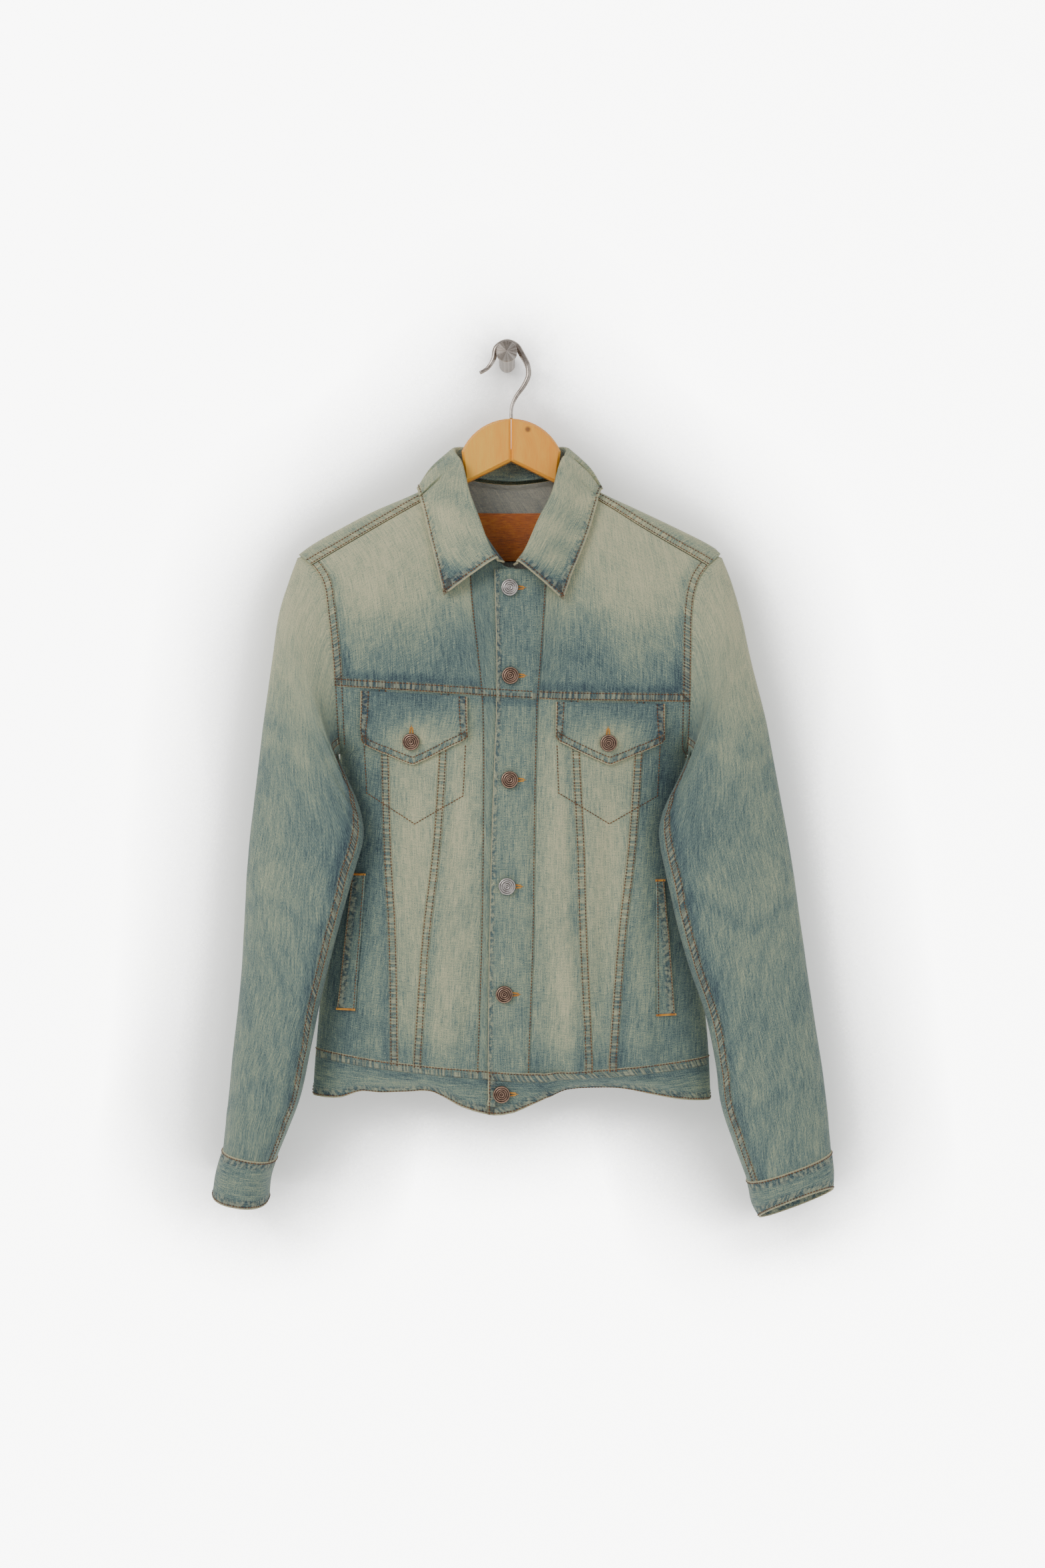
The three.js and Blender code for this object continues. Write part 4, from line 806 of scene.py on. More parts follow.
# %% [markdown]
# ## Collar
# The collar rises from the neck seam, turns over a fold line and lies on the yoke. Each of its
# cross-sections is a smooth curve through seven points: two on the stand, three round the fold
# and two on the leaf. fold is the line that it turns over at, edge its outer edge.

# %% Collar
COLLAR = table(
    "foldX foldY foldZ edgeX edgeZ side lift",
    (-9, -88, -212, -62, -248, -1, 6), (-18, -86, -199, -68, -222, -1, 5), (-29, -79, -169, -76, -190, -1, 4),
    (-39, -70, -141, -82, -165, -1, 4), (-46, -60, -113, -87, -146, -1, 4), (-54, -46, -98, -88, -139, 1, 5),
    (-50, -33, -93, -80, -147, 1, 4), (-36, -23, -92, -62, -157, 1, 4), (-17, -17, -92, -33, -164, 1, 4),
    (4.5, -15.5, -92, 4.5, -166, 1, 4), (27, -17, -92, 43, -164, 1, 4), (45, -23, -92, 71, -157, 1, 4),
    (58, -33, -93, 89, -147, 1, 4), (62, -46, -98, 93, -139, 1, 5), (55, -60, -113, 92, -146, -1, 4),
    (46, -70, -145, 87, -165, -1, 4), (33, -79, -172, 79, -191, -1, 4), (20, -86, -202, 65, -226, -1, 6),
    (11, -88, -215, 56, -252.5, -1, 7),
)
for number, row in enumerate(COLLAR):
    row["at"] = number / (len(COLLAR) - 1)
collar_row = {key: track(COLLAR, "at", key) for key in COLLAR[0]}


def through(controls, t):
    """A centripetal curve through control points, at t from 0 to 1, for many curves at once."""
    controls = np.stack(np.broadcast_arrays(*controls))
    before = 2 * controls[0] - controls[1]
    after = 2 * controls[-1] - controls[-2]
    line = np.concatenate([before[None], controls, after[None]])
    spans = len(controls) - 1
    i = np.clip(np.floor(t * spans).astype(int), 0, spans - 1)
    w = (t * spans - i)[..., None]
    pick = lambda k: np.take_along_axis(line, (i + k)[None, ..., None], 0)[0]
    p0, p1, p2, p3 = pick(0), pick(1), pick(2), pick(3)
    gap = lambda a, b: np.maximum(np.linalg.norm(b - a, axis=-1, keepdims=True) ** 0.5, 1e-4)
    d0, d1, d2 = gap(p0, p1), gap(p1, p2), gap(p2, p3)
    t1 = ((p1 - p0) / d0 - (p2 - p0) / (d0 + d1) + (p2 - p1) / d1) * d1
    t2 = ((p2 - p1) / d1 - (p3 - p1) / (d1 + d2) + (p3 - p2) / d2) * d1
    return p1 + t1 * w + (3 * (p2 - p1) - 2 * t1 - t2) * w**2 + (2 * (p1 - p2) + t1 + t2) * w**3


def neck_points():
    fronts = lambda xs: [body_on(float(x), neck_front(float(x)), -1) for x in xs]
    over = [over_ridge_at(float(x), back_neck(float(x))) for x in (-62, -52, -36, -16, 4.5, 25, 45, 61, 71)]
    return fronts((-4, -14, -28, -38, -50, -59)) + over + fronts((68, 59, 47, 37, 23, 9))


NECK_POINTS = neck_points()


def collar_sheet(s, v):
    s, v = np.broadcast_arrays(np.clip(s, 0, 1), np.clip(v, 0, 1))
    get = {key: look_up(s) for key, look_up in collar_row.items()}
    fold = points(get["foldX"], get["foldY"], get["foldZ"])
    sign = np.where(get["side"] < 0, -1, 1)
    edge_x = get["edgeX"]
    edge_z = np.minimum(get["edgeZ"], ridge_z(edge_x) - 0.2)
    on_body = body_on(edge_x, edge_z, sign)
    along = body_on(edge_x + 1, edge_z, sign) - on_body
    down = body_on(edge_x, edge_z - 1, sign) - on_body
    out = unit(np.cross(along, down))
    out = out * np.where(out[..., 1] * sign < 0, -1, 1)[..., None]
    edge = on_body + out * get["lift"][..., None]
    neck = through([np.broadcast_to(p, s.shape + (3,)) for p in NECK_POINTS], s)
    up = unit(fold - (neck + edge) / 2)
    over = edge - neck
    over = unit(over - up * np.sum(over * up, axis=-1, keepdims=True))
    before = fold - over * 2.75 - up * 2.75
    after = fold + over * 2.75 - up * 2.75
    start = mix(neck, before, 0.03) + up * 2.2
    rise = mix(start, before, 0.5)
    leaf = mix(after, edge, 0.5) + out * 4
    return through([start, rise, before, fold, after, leaf, edge], v)


def collar_normal(s, v):
    return normal_of(collar_sheet, np.clip(s, 0.002, 0.998), np.clip(v, 0.002, 0.998), 1)


cloth(
    "collar", collar_sheet, 144, 30, normal=collar_normal, lift=CLOTH, slot="strip_denim",
    worn=("bottom", "left", "right"), blue=blue_of_collar,
)
print("collar folds over at", COLLAR[9]["foldZ"], "mm at the back")

# %% [markdown]
# ## Sleeves and cuffs
# A sleeve starts on the armhole's own loop and becomes a flat tube that hangs bowed, with its
# elbow out. It is cut in two, an upper and an under sleeve, with a seam near each fold. Each
# row of its table is a ring: its outer and its inner point, and how far the ring stands in
# front of and behind the line between them.

# %% Sleeves and cuffs
RING = "along ox oy oz ix iy iz front back tip"
SLEEVE = {
    "left": table(
        RING,
        (0, -211.3, -45, -203, -170, -38, -405, 31, 27, 0),
        (1, -221, -46, -230, -172.5, -55, -411, 28, 16, 0),
        (2, -231, -47, -264, -163, -68, -426, 26, 15, 0),
        (3, -238, -48, -312, -148.5, -73, -455, 26, 18, 0),
        (4, -246, -49, -372, -143, -76, -477, 26, 20, 0),
        (5, -253.5, -50, -434, -143.5, -77, -494, 26, 20, 0),
        (6, -259.5, -51, -484, -150, -78, -517, 27, 20, 0),
        (7, -263, -52, -533, -160, -78, -552, 28, 21, 0),
        (8, -265.5, -53, -582, -172, -77, -596, 29, 23, 0),
        (9, -268.5, -54, -632, -183.5, -75, -641, 31, 25, 0),
        (10, -274, -55, -690, -196, -72, -700, 35, 28, 0),
        (11, -279.5, -56, -745, -208.5, -67, -754, 39, 34, 0),
        (12, -285.3, -57, -803.5, -232.5, -61, -814, 43, 40, 0),
    ),
    "right": table(
        RING,
        (0, 216.9, -45, -203, 184, -38, -405, 31, 27, 0),
        (1, 228, -46, -231, 187, -56, -411, 27, 14, 0),
        (2, 238, -47, -266, 176, -70, -428, 25, 14, 0),
        (3, 248, -48, -312, 159, -74, -457, 26, 17, 0),
        (4, 262, -49, -369, 152.5, -76, -479, 26, 20, 0),
        (5, 273, -50, -426, 153.5, -77, -498, 26, 20, 0),
        (6, 283, -51, -480, 158.5, -78, -523, 27, 20, 0),
        (7, 291, -52, -533, 168, -78, -566, 28, 21, 0),
        (8, 299, -53, -590, 181.5, -77, -616, 28, 23, 0),
        (9, 307, -54, -646, 198.5, -75, -665, 29, 24, 0),
        (10, 314.5, -55, -698, 209.5, -72, -716, 30, 25, 0),
        (11, 321.5, -56, -746, 217, -68, -764, 31, 28, 0),
        (12, 327.3, -57, -807, 243, -62, -837, 32, 31, 0),
    ),
}
CUFF = {
    "left": table(
        RING,
        (0, -286.3, -57, -803.5, -232, -61, -814, 44, 41, 0),
        (1, -292.5, -57, -825, -238, -60, -834, 45, 42, 0.03),
        (2, -296, -57, -847, -240, -60, -856, 44, 42, 0.07),
    ),
    "right": table(
        RING,
        (0, 328, -57, -807, 242.5, -62, -837, 33, 32, 0),
        (1, 330, -57, -826, 247, -61, -858, 34, 33, -0.18),
        (2, 329.5, -57, -846, 255, -60, -872, 34, 33, -0.36),
    ),
}


def armhole_loop(hand, turn):
    z = mix(-203.2, UNDERARM_Z, (1 - np.cos(turn)) / 2)
    return body_on(armhole[hand](z), z, np.where(np.sin(turn) > 0, -1, 1))


def ring_of(rows):
    get = {key: track(rows, "along", key) for key in rows[0]}

    def ring(along, turn):
        outer = points(get["ox"](along), get["oy"](along), get["oz"](along))
        inner = points(get["ix"](along), get["iy"](along), get["iz"](along))
        c, s = np.cos(turn), np.sin(turn)
        across = np.sign(c) * np.abs(c) ** 0.86
        out = np.sign(s) * np.abs(s) ** 0.86
        point = mix(inner, outer, ((1 + across) / 2)[..., None])
        offset = -out * np.where(out > 0, get["front"](along), get["back"](along))
        point[..., 1] += offset
        point[..., 2] += offset * get["tip"](along)
        return point

    return ring


def crease_rise(along, turn):
    total = np.zeros(np.broadcast(along, turn).shape)
    for crease in SLEEVE_CREASES:
        away = turn - crease["turn"]
        down = (along - crease["at"] - crease["lean"] * away) / crease["long"]
        total = total + crease["rise"] * np.exp(-((away / crease["spread"]) ** 2) - down**2)
    return total


SEAM_LAP = 3.0
SEAM_LAP_DEPTH = 1.9


def sleeve(hand, mirror):
    ring = ring_of(SLEEVE[hand])

    def plain(along, turn):
        keep = (1 - np.minimum(along / 3, 1)) ** 3
        start = armhole_loop(hand, turn) - ring(0 * along, turn)
        return ring(along, turn) + start * keep[..., None]

    def make(name, first, last, columns):
        smooth_sheet = lambda s, v: plain(mix(0.05, 12.0, v), mix(first, last, s))

        def sheet(s, v):
            turn = mix(first, last, s)
            rise = crease_rise(mix(0.05, 12.0, v), np.mod(turn, 2 * math.pi))
            fade = smooth(v, 0.02, 0.2) * (1 - smooth(v, 0.94, 0.99))
            hanging = smooth_sheet(s, v) + normal_of(smooth_sheet, s, v, mirror) * (rise * fade)[..., None]
            loop = armhole_loop(hand, turn)
            core = points(loop[..., 0], HANG_Y + 4, np.clip(loop[..., 2], -385, -222))
            lapped = loop + unit(core - loop) * SEAM_LAP_DEPTH
            lapped[..., 0] -= mirror * SEAM_LAP
            return mix(lapped, hanging, smooth(v, 0, 0.004)[..., None])

        def normal(s, v):
            own = normal_of(sheet, s, np.maximum(v, 0.002), mirror)
            loop = armhole_loop(hand, mix(first, last, s))
            core = points(loop[..., 0], HANG_Y + 4, np.clip(loop[..., 2], -385, -222))
            return unit(mix(unit(loop - core), own, smooth(v, 0, 0.09)[..., None]))

        cloth(
            name, sheet, columns, 150, normal=normal, slot="sleeve_denim",
            seams=("right",) if "upper" in name else (), blue=blue_of_sleeve,
        )

    make("sleeve_upper_" + hand, -0.62, 2.72, 46)
    make("sleeve_under_" + hand, 2.72, 2 * math.pi - 0.62, 42)


def cuff(hand, mirror):
    ring, above = ring_of(CUFF[hand]), ring_of(SLEEVE[hand])

    def sheet(s, v):
        turn = 2 * math.pi * s + CUFF_SLIT
        lap = 0 * turn + SLEEVE_END - 0.04
        middle = mix(above(lap, 0 * turn), above(lap, 0 * turn + math.pi), 0.5)
        lapped = mix(middle, above(lap, turn), 1.015)
        return mix(lapped, ring(mix(0.03, 2.0, v), turn), smooth(v, 0, 0.14)[..., None])

    cloth(
        "cuff_" + hand, sheet, 80, 14, thickness=STRIP, flip=mirror, slot="strip_denim",
        worn=("bottom", "top"), blue=blue_of_strip,
    )


CUFF_SLIT = 4.4
SLEEVE_END = 12.0
for hand, mirror in (("left", -1), ("right", 1)):
    sleeve(hand, mirror)
    cuff(hand, mirror)
print("sleeves and cuffs:", len(PIECES), "pieces so far")

# %% [markdown]
# ## Flaps, welts and neck patch
# The chest flaps hang from the yoke seam and come to a point. The hand pockets open under a
# slanting welt. The patch is plain leather, sewn inside the back yoke under the neck seam.

# %% Flaps, welts and neck patch
FLAPS = {
    "left": table(
        "x top bottom",
        (-146, -342.5, -391), (-143, -342.5, -396), (-93.5, -345.5, -417.5), (-43, -348.5, -393),
        (-39, -349, -389),
    ),
    "right": table(
        "x top bottom",
        (49, -354, -389), (52, -354, -394), (103, -355, -417.5), (155, -355.5, -395), (158.5, -355.5, -390),
    ),
}
WELTS = {
    "left": table("z outer inner", (-526, -155, -141.5), (-595, -163, -146.5), (-663, -170.5, -151.5)),
    "right": table("z outer inner", (-532, 158, 149.5), (-600, 164, 150), (-669, 169, 150)),
}


def flap(hand):
    rows = FLAPS[hand]
    top = track(rows, "x", "top")
    curved = track(rows, "x", "bottom")
    straight = lambda x: np.interp(x, [row["x"] for row in rows], [row["bottom"] for row in rows])

    def sheet(s, v):
        x = mix(rows[0]["x"], rows[-1]["x"], np.clip(s, 0, 1))
        return body_on(x, mix(top(x), 0.85 * straight(x) + 0.15 * curved(x), v), -1)

    normal = lambda s, v: normal_of(sheet, np.clip(s, 0.01, 0.99), v, -1)
    curl = lambda s: STRIP + LAY_GAP * 1.6 + 0 * s
    cloth(
        "flap_" + hand, sheet, 34, 20, normal=normal, thickness=STRIP, lift=curl,
        slot="strip_denim", worn=("left", "right", "bottom"), blue=lambda grid: blue_and_shade_of_panel(grid) + 0.16,
    )


def welt(hand):
    outer_x, inner_x = track(WELTS[hand], "z", "outer"), track(WELTS[hand], "z", "inner")

    def sheet(s, v):
        z = mix(WELTS[hand][0]["z"], WELTS[hand][2]["z"], v)
        return body_on(mix(outer_x(z), inner_x(z), s), z, -1)

    cloth(
        "welt_" + hand, sheet, 6, 40, flip=-1 if hand == "left" else 1, lift=CLOTH + LAY_GAP,
        slot="strip_denim", worn=("left",), blue=blue_of_strip,
    )


def patch_sheet(s, v):
    return body_on(mix(-31.0, 40.0, s), mix(-158.0, -207.0, v), 1)


for hand in ("left", "right"):
    flap(hand)
    welt(hand)
cloth(
    "neck_patch", patch_sheet, 24, 16, thickness=1.2, lift=-CLOTH - LAY_GAP, slot="patch",
    worn=("left", "right", "top", "bottom"), blue=lambda grid: 0 * grid[..., 0],
)
print("cloth pieces:", len(PIECES))

# %% [markdown]
# ## Helpers for materials
# A material is a small tree of nodes. These helpers add one node each and hand back its output,
# so the trees below read like a recipe. Colours are given as they look on a screen, from 0 to
# 255, and are turned into the linear values that Blender computes with.


# %% Helpers for materials
def srgb(red, green, blue):
    linear = lambda c: c / 12.92 if c <= 0.04045 else ((c + 0.055) / 1.055) ** 2.4
    return tuple(linear(c / 255) for c in (red, green, blue)) + (1.0,)


def node(tree, kind, inputs=None, **settings):
    made = tree.nodes.new(kind)
    for key, value in settings.items():
        setattr(made, key, value)
    fill(tree, made, inputs or {})
    return made


def fill(tree, made, inputs):
    """Links or sets the named inputs of a node."""
    for key, value in inputs.items():
        if isinstance(value, bpy.types.NodeSocket):
            tree.links.new(value, made.inputs[key])
        else:
            made.inputs[key].default_value = value


def maths(tree, operation, *values, clamp=False):
    inputs = dict(enumerate(values))
    return node(tree, "ShaderNodeMath", inputs, operation=operation, use_clamp=clamp).outputs[0]


def times(tree, first, *others):
    for other in others:
        first = maths(tree, "MULTIPLY", first, other)
    return first


def remap(tree, value, low, high, to_low=0.0, to_high=1.0):
    inputs = {0: value, 1: low, 2: high, 3: to_low, 4: to_high}
    return node(tree, "ShaderNodeMapRange", inputs, interpolation_type="SMOOTHSTEP").outputs[0]


def vector(tree, x=0.0, y=0.0, z=0.0):
    return node(tree, "ShaderNodeCombineXYZ", {0: x, 1: y, 2: z}).outputs[0]


def stretched(tree, source, x, y, z):
    inputs = {"Vector": source, "Scale": (x, y, z)}
    return node(tree, "ShaderNodeMapping", inputs).outputs[0]


def noise(tree, source, scale=1.0, detail=2.0, roughness=0.5):
    inputs = {"Vector": source, "Scale": scale, "Detail": detail, "Roughness": roughness}
    return node(tree, "ShaderNodeTexNoise", inputs).outputs["Fac"]


def ramp(tree, value, *stops):
    made = node(tree, "ShaderNodeValToRGB", {"Fac": value})
    elements = made.color_ramp.elements
    while len(elements) < len(stops):
        elements.new(0.5)
    for element, (place, colour) in zip(elements, stops):
        element.position = place
        element.color = colour
    return made.outputs["Color"]


def blend(tree, factor, first, second, mode="MIX"):
    made = node(tree, "ShaderNodeMix", {0: factor, 6: first, 7: second}, data_type="RGBA", blend_type=mode)
    return made.outputs[2]


def material(name):
    made = bpy.data.materials.new(name)
    made.use_nodes = True
    shader = made.node_tree.nodes["Principled BSDF"]
    return made, made.node_tree, shader


def attribute(tree, name):
    return node(tree, "ShaderNodeAttribute", attribute_name=name).outputs["Fac"]


def bump(tree, height, distance=1.0, strength=1.0):
    inputs = {"Height": height, "Distance": distance, "Strength": strength}
    return node(tree, "ShaderNodeBump", inputs).outputs["Normal"]


def group(name, inputs, outputs):
    made = bpy.data.node_groups.new(name, "ShaderNodeTree")
    for socket, value in inputs.items():
        item = made.interface.new_socket(name=socket, in_out="INPUT", socket_type="NodeSocketFloat")
        item.default_value = value
    for socket, kind in outputs.items():
        made.interface.new_socket(name=socket, in_out="OUTPUT", socket_type="NodeSocket" + kind)
    return made, made.nodes.new("NodeGroupInput").outputs, made.nodes.new("NodeGroupOutput").inputs


print("colour test", srgb(183, 187, 170)[:3])

# %% [markdown]
# ## Denim
# Denim is a twill: blue warp threads run along the piece and show on its face, over white weft
# threads that show on its back. Washed denim keeps uneven streaks along the warp, where thicker
# threads stand out and have lost more dye. Along a felled seam the doubled cloth shrinks more
# than its thread, so the seam puckers: each little ridge is rubbed to cream and each hollow
# stays blue. One node group makes the cloth, and another one the seams and worn edges on it.

# %% The weave
weave, given, result = group(
    "denim weave", {"Across": 0, "Along": 0, "Blue": 0.5}, {"Shade": "Float", "Height": "Float"}
)
plane_of_cloth = vector(weave, given["Across"], given["Along"])
slub = noise(weave, stretched(weave, plane_of_cloth, 1000, 60, 1), detail=3.0, roughness=0.65)
broad_slub = noise(weave, stretched(weave, plane_of_cloth, 430, 20, 1), detail=2.0)
fleck = noise(weave, stretched(weave, plane_of_cloth, 1500, 800, 1), detail=2.0)
weft = noise(weave, stretched(weave, plane_of_cloth, 110, 1100, 1), detail=2.0)
blotch = noise(weave, plane_of_cloth, scale=26.0, detail=3.0)
shade = given["Blue"]
for unevenness, share in ((slub, 1.05), (broad_slub, 0.3), (fleck, 0.95), (weft, 0.5), (blotch, 0.4)):
    shade = maths(weave, "MULTIPLY_ADD", maths(weave, "SUBTRACT", unevenness, 0.5), share, shade)
weave.links.new(shade, result["Shade"])
diagonal = maths(weave, "ADD", times(weave, given["Across"], 5200.0), times(weave, given["Along"], 3900.0))
twill = times(weave, maths(weave, "SINE", diagonal), 0.00004)
height = maths(weave, "MULTIPLY_ADD", slub, 0.00035, twill)
height = maths(weave, "MULTIPLY_ADD", fleck, 0.00016, height)
height = maths(weave, "MULTIPLY_ADD", blotch, 0.0016, height)
weave.links.new(height, result["Height"])
print("denim weave has", len(weave.nodes), "nodes")

# %% Puckered seams and worn edges
seams, given, result = group(
    "seam wear and shade",
    {"Seam": 1, "Run": 0, "Worn": 1, "Edge": 0},
    {"Cream": "Float", "Deep and shade": "Float", "Height": "Float"},
)
in_band = remap(seams, given["Seam"], 0.0082, 0.0098, 1.0, 0.0)
at_lip = remap(seams, given["Seam"], 0.0006, 0.002, 1.0, 0.0)
# Just past the band the cloth is made darker: partly blue left beside the seam, partly painted shade cast by
# the raised seam band.
past_band = remap(seams, given["Seam"], 0.0088, 0.0102)
beside = times(seams, past_band, remap(seams, given["Seam"], 0.0115, 0.022, 1.0, 0.0))
along_seam = vector(seams, times(seams, given["Run"], 330.0), times(seams, given["Seam"], 25.0))
pucker = remap(seams, noise(seams, along_seam, detail=2.0), 0.4, 0.6)
edge_path = vector(seams, times(seams, given["Edge"], 250.0), times(seams, given["Worn"], 150.0), 4.0)
edge_pucker = remap(seams, noise(seams, edge_path, detail=2.0), 0.4, 0.62)
edge_band = remap(seams, given["Worn"], 0.006, 0.0115, 1.0, 0.0)
edge_lip = remap(seams, given["Worn"], 0.0007, 0.0024, 1.0, 0.0)
run_of_lip = noise(seams, times(seams, given["Run"], 1.0), scale=60.0)
lip_breaks = remap(seams, run_of_lip, 0.3, 0.6, 0.45, 1.0)
edge_ridges = times(seams, edge_pucker, edge_band)
cream = times(seams, pucker, in_band, 0.3)
for rubbed, share in ((times(seams, at_lip, lip_breaks), 0.6), (edge_lip, 0.7), (edge_ridges, 0.22)):
    cream = maths(seams, "MAXIMUM", cream, times(seams, rubbed, share))
seams.links.new(cream, result["Cream"])
hollow = maths(seams, "SUBTRACT", 1.0, pucker)
edge_hollow = maths(seams, "SUBTRACT", 1.0, edge_pucker)
deep = times(seams, hollow, in_band, 0.2)
deep = maths(seams, "MULTIPLY_ADD", beside, 0.16, deep)
deep = maths(seams, "MULTIPLY_ADD", times(seams, edge_hollow, edge_band), 0.24, deep)
seams.links.new(deep, result["Deep and shade"])
rise = times(seams, maths(seams, "MULTIPLY_ADD", pucker, 0.0011, 0.0011), in_band)
rise = maths(seams, "MULTIPLY_ADD", edge_ridges, 0.0007, rise)
rise = maths(seams, "MULTIPLY_ADD", edge_lip, 0.0004, rise)
seams.links.new(rise, result["Height"])
print("seam wear and shade has", len(seams.nodes), "nodes")


# %% Denim for the face and for the back of the cloth
FADES = (
    (0.0, srgb(201, 197, 160)), (0.2, srgb(174, 178, 146)), (0.42, srgb(136, 151, 132)),
    (0.62, srgb(104, 123, 119)), (0.8, srgb(80, 99, 101)), (1.0, srgb(52, 68, 79)),
)
CREAM = srgb(208, 196, 154)


def denim(name, across, along):
    made, tree, shader = material(name)
    cloth_node = node(tree, "ShaderNodeGroup", node_tree=weave)
    wear = node(tree, "ShaderNodeGroup", node_tree=seams)
    tree.links.new(attribute(tree, across), cloth_node.inputs["Across"])
    tree.links.new(attribute(tree, along), cloth_node.inputs["Along"])
    tree.links.new(attribute(tree, "blue"), cloth_node.inputs["Blue"])
    for socket, source in (("Seam", "seam"), ("Run", "run"), ("Worn", "worn"), ("Edge", "edge")):
        tree.links.new(attribute(tree, source), wear.inputs[socket])
    level = maths(tree, "ADD", cloth_node.outputs["Shade"], wear.outputs["Deep and shade"])
    colour = blend(tree, wear.outputs["Cream"], ramp(tree, level, *FADES), CREAM)
    height = maths(tree, "ADD", cloth_node.outputs["Height"], wear.outputs["Height"])
    fill(tree, shader, {
        "Base Color": colour, "Normal": bump(tree, height),
        "Roughness": remap(tree, level, 0.0, 1.0, 0.94, 0.82),
        "Sheen Weight": 0.12, "Sheen Roughness": 0.5, "Specular IOR Level": 0.25,
    })
    return made


def reverse(name, across, along):
    made, tree, shader = material(name)
    cloth_node = node(tree, "ShaderNodeGroup", node_tree=weave)
    tree.links.new(attribute(tree, across), cloth_node.inputs["Across"])
    tree.links.new(attribute(tree, along), cloth_node.inputs["Along"])
    shades = ((0.1, srgb(176, 172, 158)), (0.5, srgb(146, 145, 135)), (0.9, srgb(112, 118, 120)))
    fill(tree, shader, {
        "Base Color": ramp(tree, cloth_node.outputs["Shade"], *shades),
        "Normal": bump(tree, cloth_node.outputs["Height"]),
        "Roughness": 0.92, "Specular IOR Level": 0.2,
    })
    return made


def both_sides(warp, across, along):
    face = denim("denim face, warp " + warp, across, along)
    return face, reverse("denim back, warp " + warp, across, along)


upright = both_sides("down", "across", "down")
level_cut = both_sides("across", "down", "across")
CUT_ACROSS = ("waistband", "collar", "cuff_left", "cuff_right")
DOUBLED = CUT_ACROSS + ("placket_left", "placket_right")
for name, piece in PIECES.items():
    face, back = level_cut if name in CUT_ACROSS else upright
    for made in (face, face if name in DOUBLED else back):
        piece.data.materials.append(made)
print("denim is on", len(PIECES), "pieces")

# %% [markdown]
# ## Leather, thread and wood
# The patch is plain tan leather, darker where it has been handled. The thread is brown-tan for
# the seams and golden for the buttonholes and bar tacks. The hanger is clear-lacquered beech:
# fine short flecks along the grain, two boards of slightly different tone, and one small knot.
# The right board is darker, partly in its own tone and partly as painted shade.


# %% Leather, thread and wood
def leather():
    made, tree, shader = material("tan leather")
    place = node(tree, "ShaderNodeTexCoord").outputs["Object"]
    cloudy = noise(tree, place, scale=60.0, detail=5.0)
    fibre = noise(tree, stretched(tree, place, 120, 120, 900), detail=4.0)
    handled = maths(tree, "MULTIPLY_ADD", fibre, 0.5, maths(tree, "MULTIPLY", cloudy, 0.5))
    tans = ((0.3, srgb(140, 66, 20)), (0.5, srgb(184, 98, 30)), (0.7, srgb(206, 128, 48)))
    pores = noise(tree, place, scale=1500.0, detail=3.0)
    fill(tree, shader, {
        "Base Color": ramp(tree, handled, *tans), "Normal": bump(tree, pores, 0.0004),
        "Roughness": remap(tree, cloudy, 0.3, 0.7, 0.5, 0.7),
    })
    return made


def thread(name, dark, light):
    made, tree, shader = material(name)
    place = node(tree, "ShaderNodeTexCoord").outputs["Object"]
    worn = noise(tree, place, scale=110.0, detail=4.0)
    twist = noise(tree, place, scale=2600.0, detail=1.0)
    fill(tree, shader, {
        "Base Color": ramp(tree, worn, (0.35, dark), (0.65, light)), "Normal": bump(tree, twist, 0.0003),
        "Roughness": remap(tree, worn, 0.3, 0.7, 0.62, 0.8), "Sheen Weight": 0.1,
    })
    return made


KNOT_PLACE = (0.0214, -0.0768)


def beech(name, light, dark):
    made, tree, shader = material(name)
    place = node(tree, "ShaderNodeTexCoord").outputs["Object"]
    x, y, z = node(tree, "ShaderNodeSeparateXYZ", {0: place}).outputs
    knot_x, knot_z = KNOT_PLACE
    from_knot = vector(tree, maths(tree, "SUBTRACT", x, knot_x), 0.0, maths(tree, "SUBTRACT", z, knot_z))
    distance = node(tree, "ShaderNodeVectorMath", {0: from_knot}, operation="LENGTH").outputs["Value"]
    pull = remap(tree, distance, 0.0, 0.016, 0.006, 0.0)
    grain_place = vector(tree, maths(tree, "ADD", x, pull), y, z)
    grain = noise(tree, stretched(tree, grain_place, 60, 500, 9), detail=4.0, roughness=0.6)
    flecks = noise(tree, stretched(tree, grain_place, 1400, 1400, 90), detail=2.0)
    tone = maths(tree, "MULTIPLY_ADD", flecks, 0.3, maths(tree, "MULTIPLY", grain, 0.75))
    colour = ramp(tree, tone, (0.35, dark), (0.66, light))
    knot = remap(tree, distance, 0.0012, 0.0042, 0.85, 0.0)
    colour = blend(tree, knot, colour, srgb(120, 74, 38))
    fill(tree, shader, {
        "Base Color": colour, "Normal": bump(tree, tone, 0.0003),
        "Roughness": remap(tree, tone, 0.3, 0.7, 0.34, 0.46), "Coat Weight": 0.25,
    })
    return made


PIECES["neck_patch"].data.materials.clear()
for _ in range(2):
    PIECES["neck_patch"].data.materials.append(leather())
brown_thread = thread("brown thread", srgb(80, 48, 28), srgb(128, 84, 48))
gold_thread = thread("golden thread", srgb(196, 122, 40), srgb(232, 172, 78))
# The right board is a little darker: partly its own tone, partly painted shade.
boards = {
    "hanger_left": beech("beech, left board", srgb(255, 190, 68), srgb(255, 160, 46)),
    "hanger_right": beech("beech, right board", srgb(255, 180, 60), srgb(246, 146, 38)),
}
for name, made in boards.items():
    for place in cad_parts[name].material_slots:
        place.material = made
print("leather, thread and wood are made")

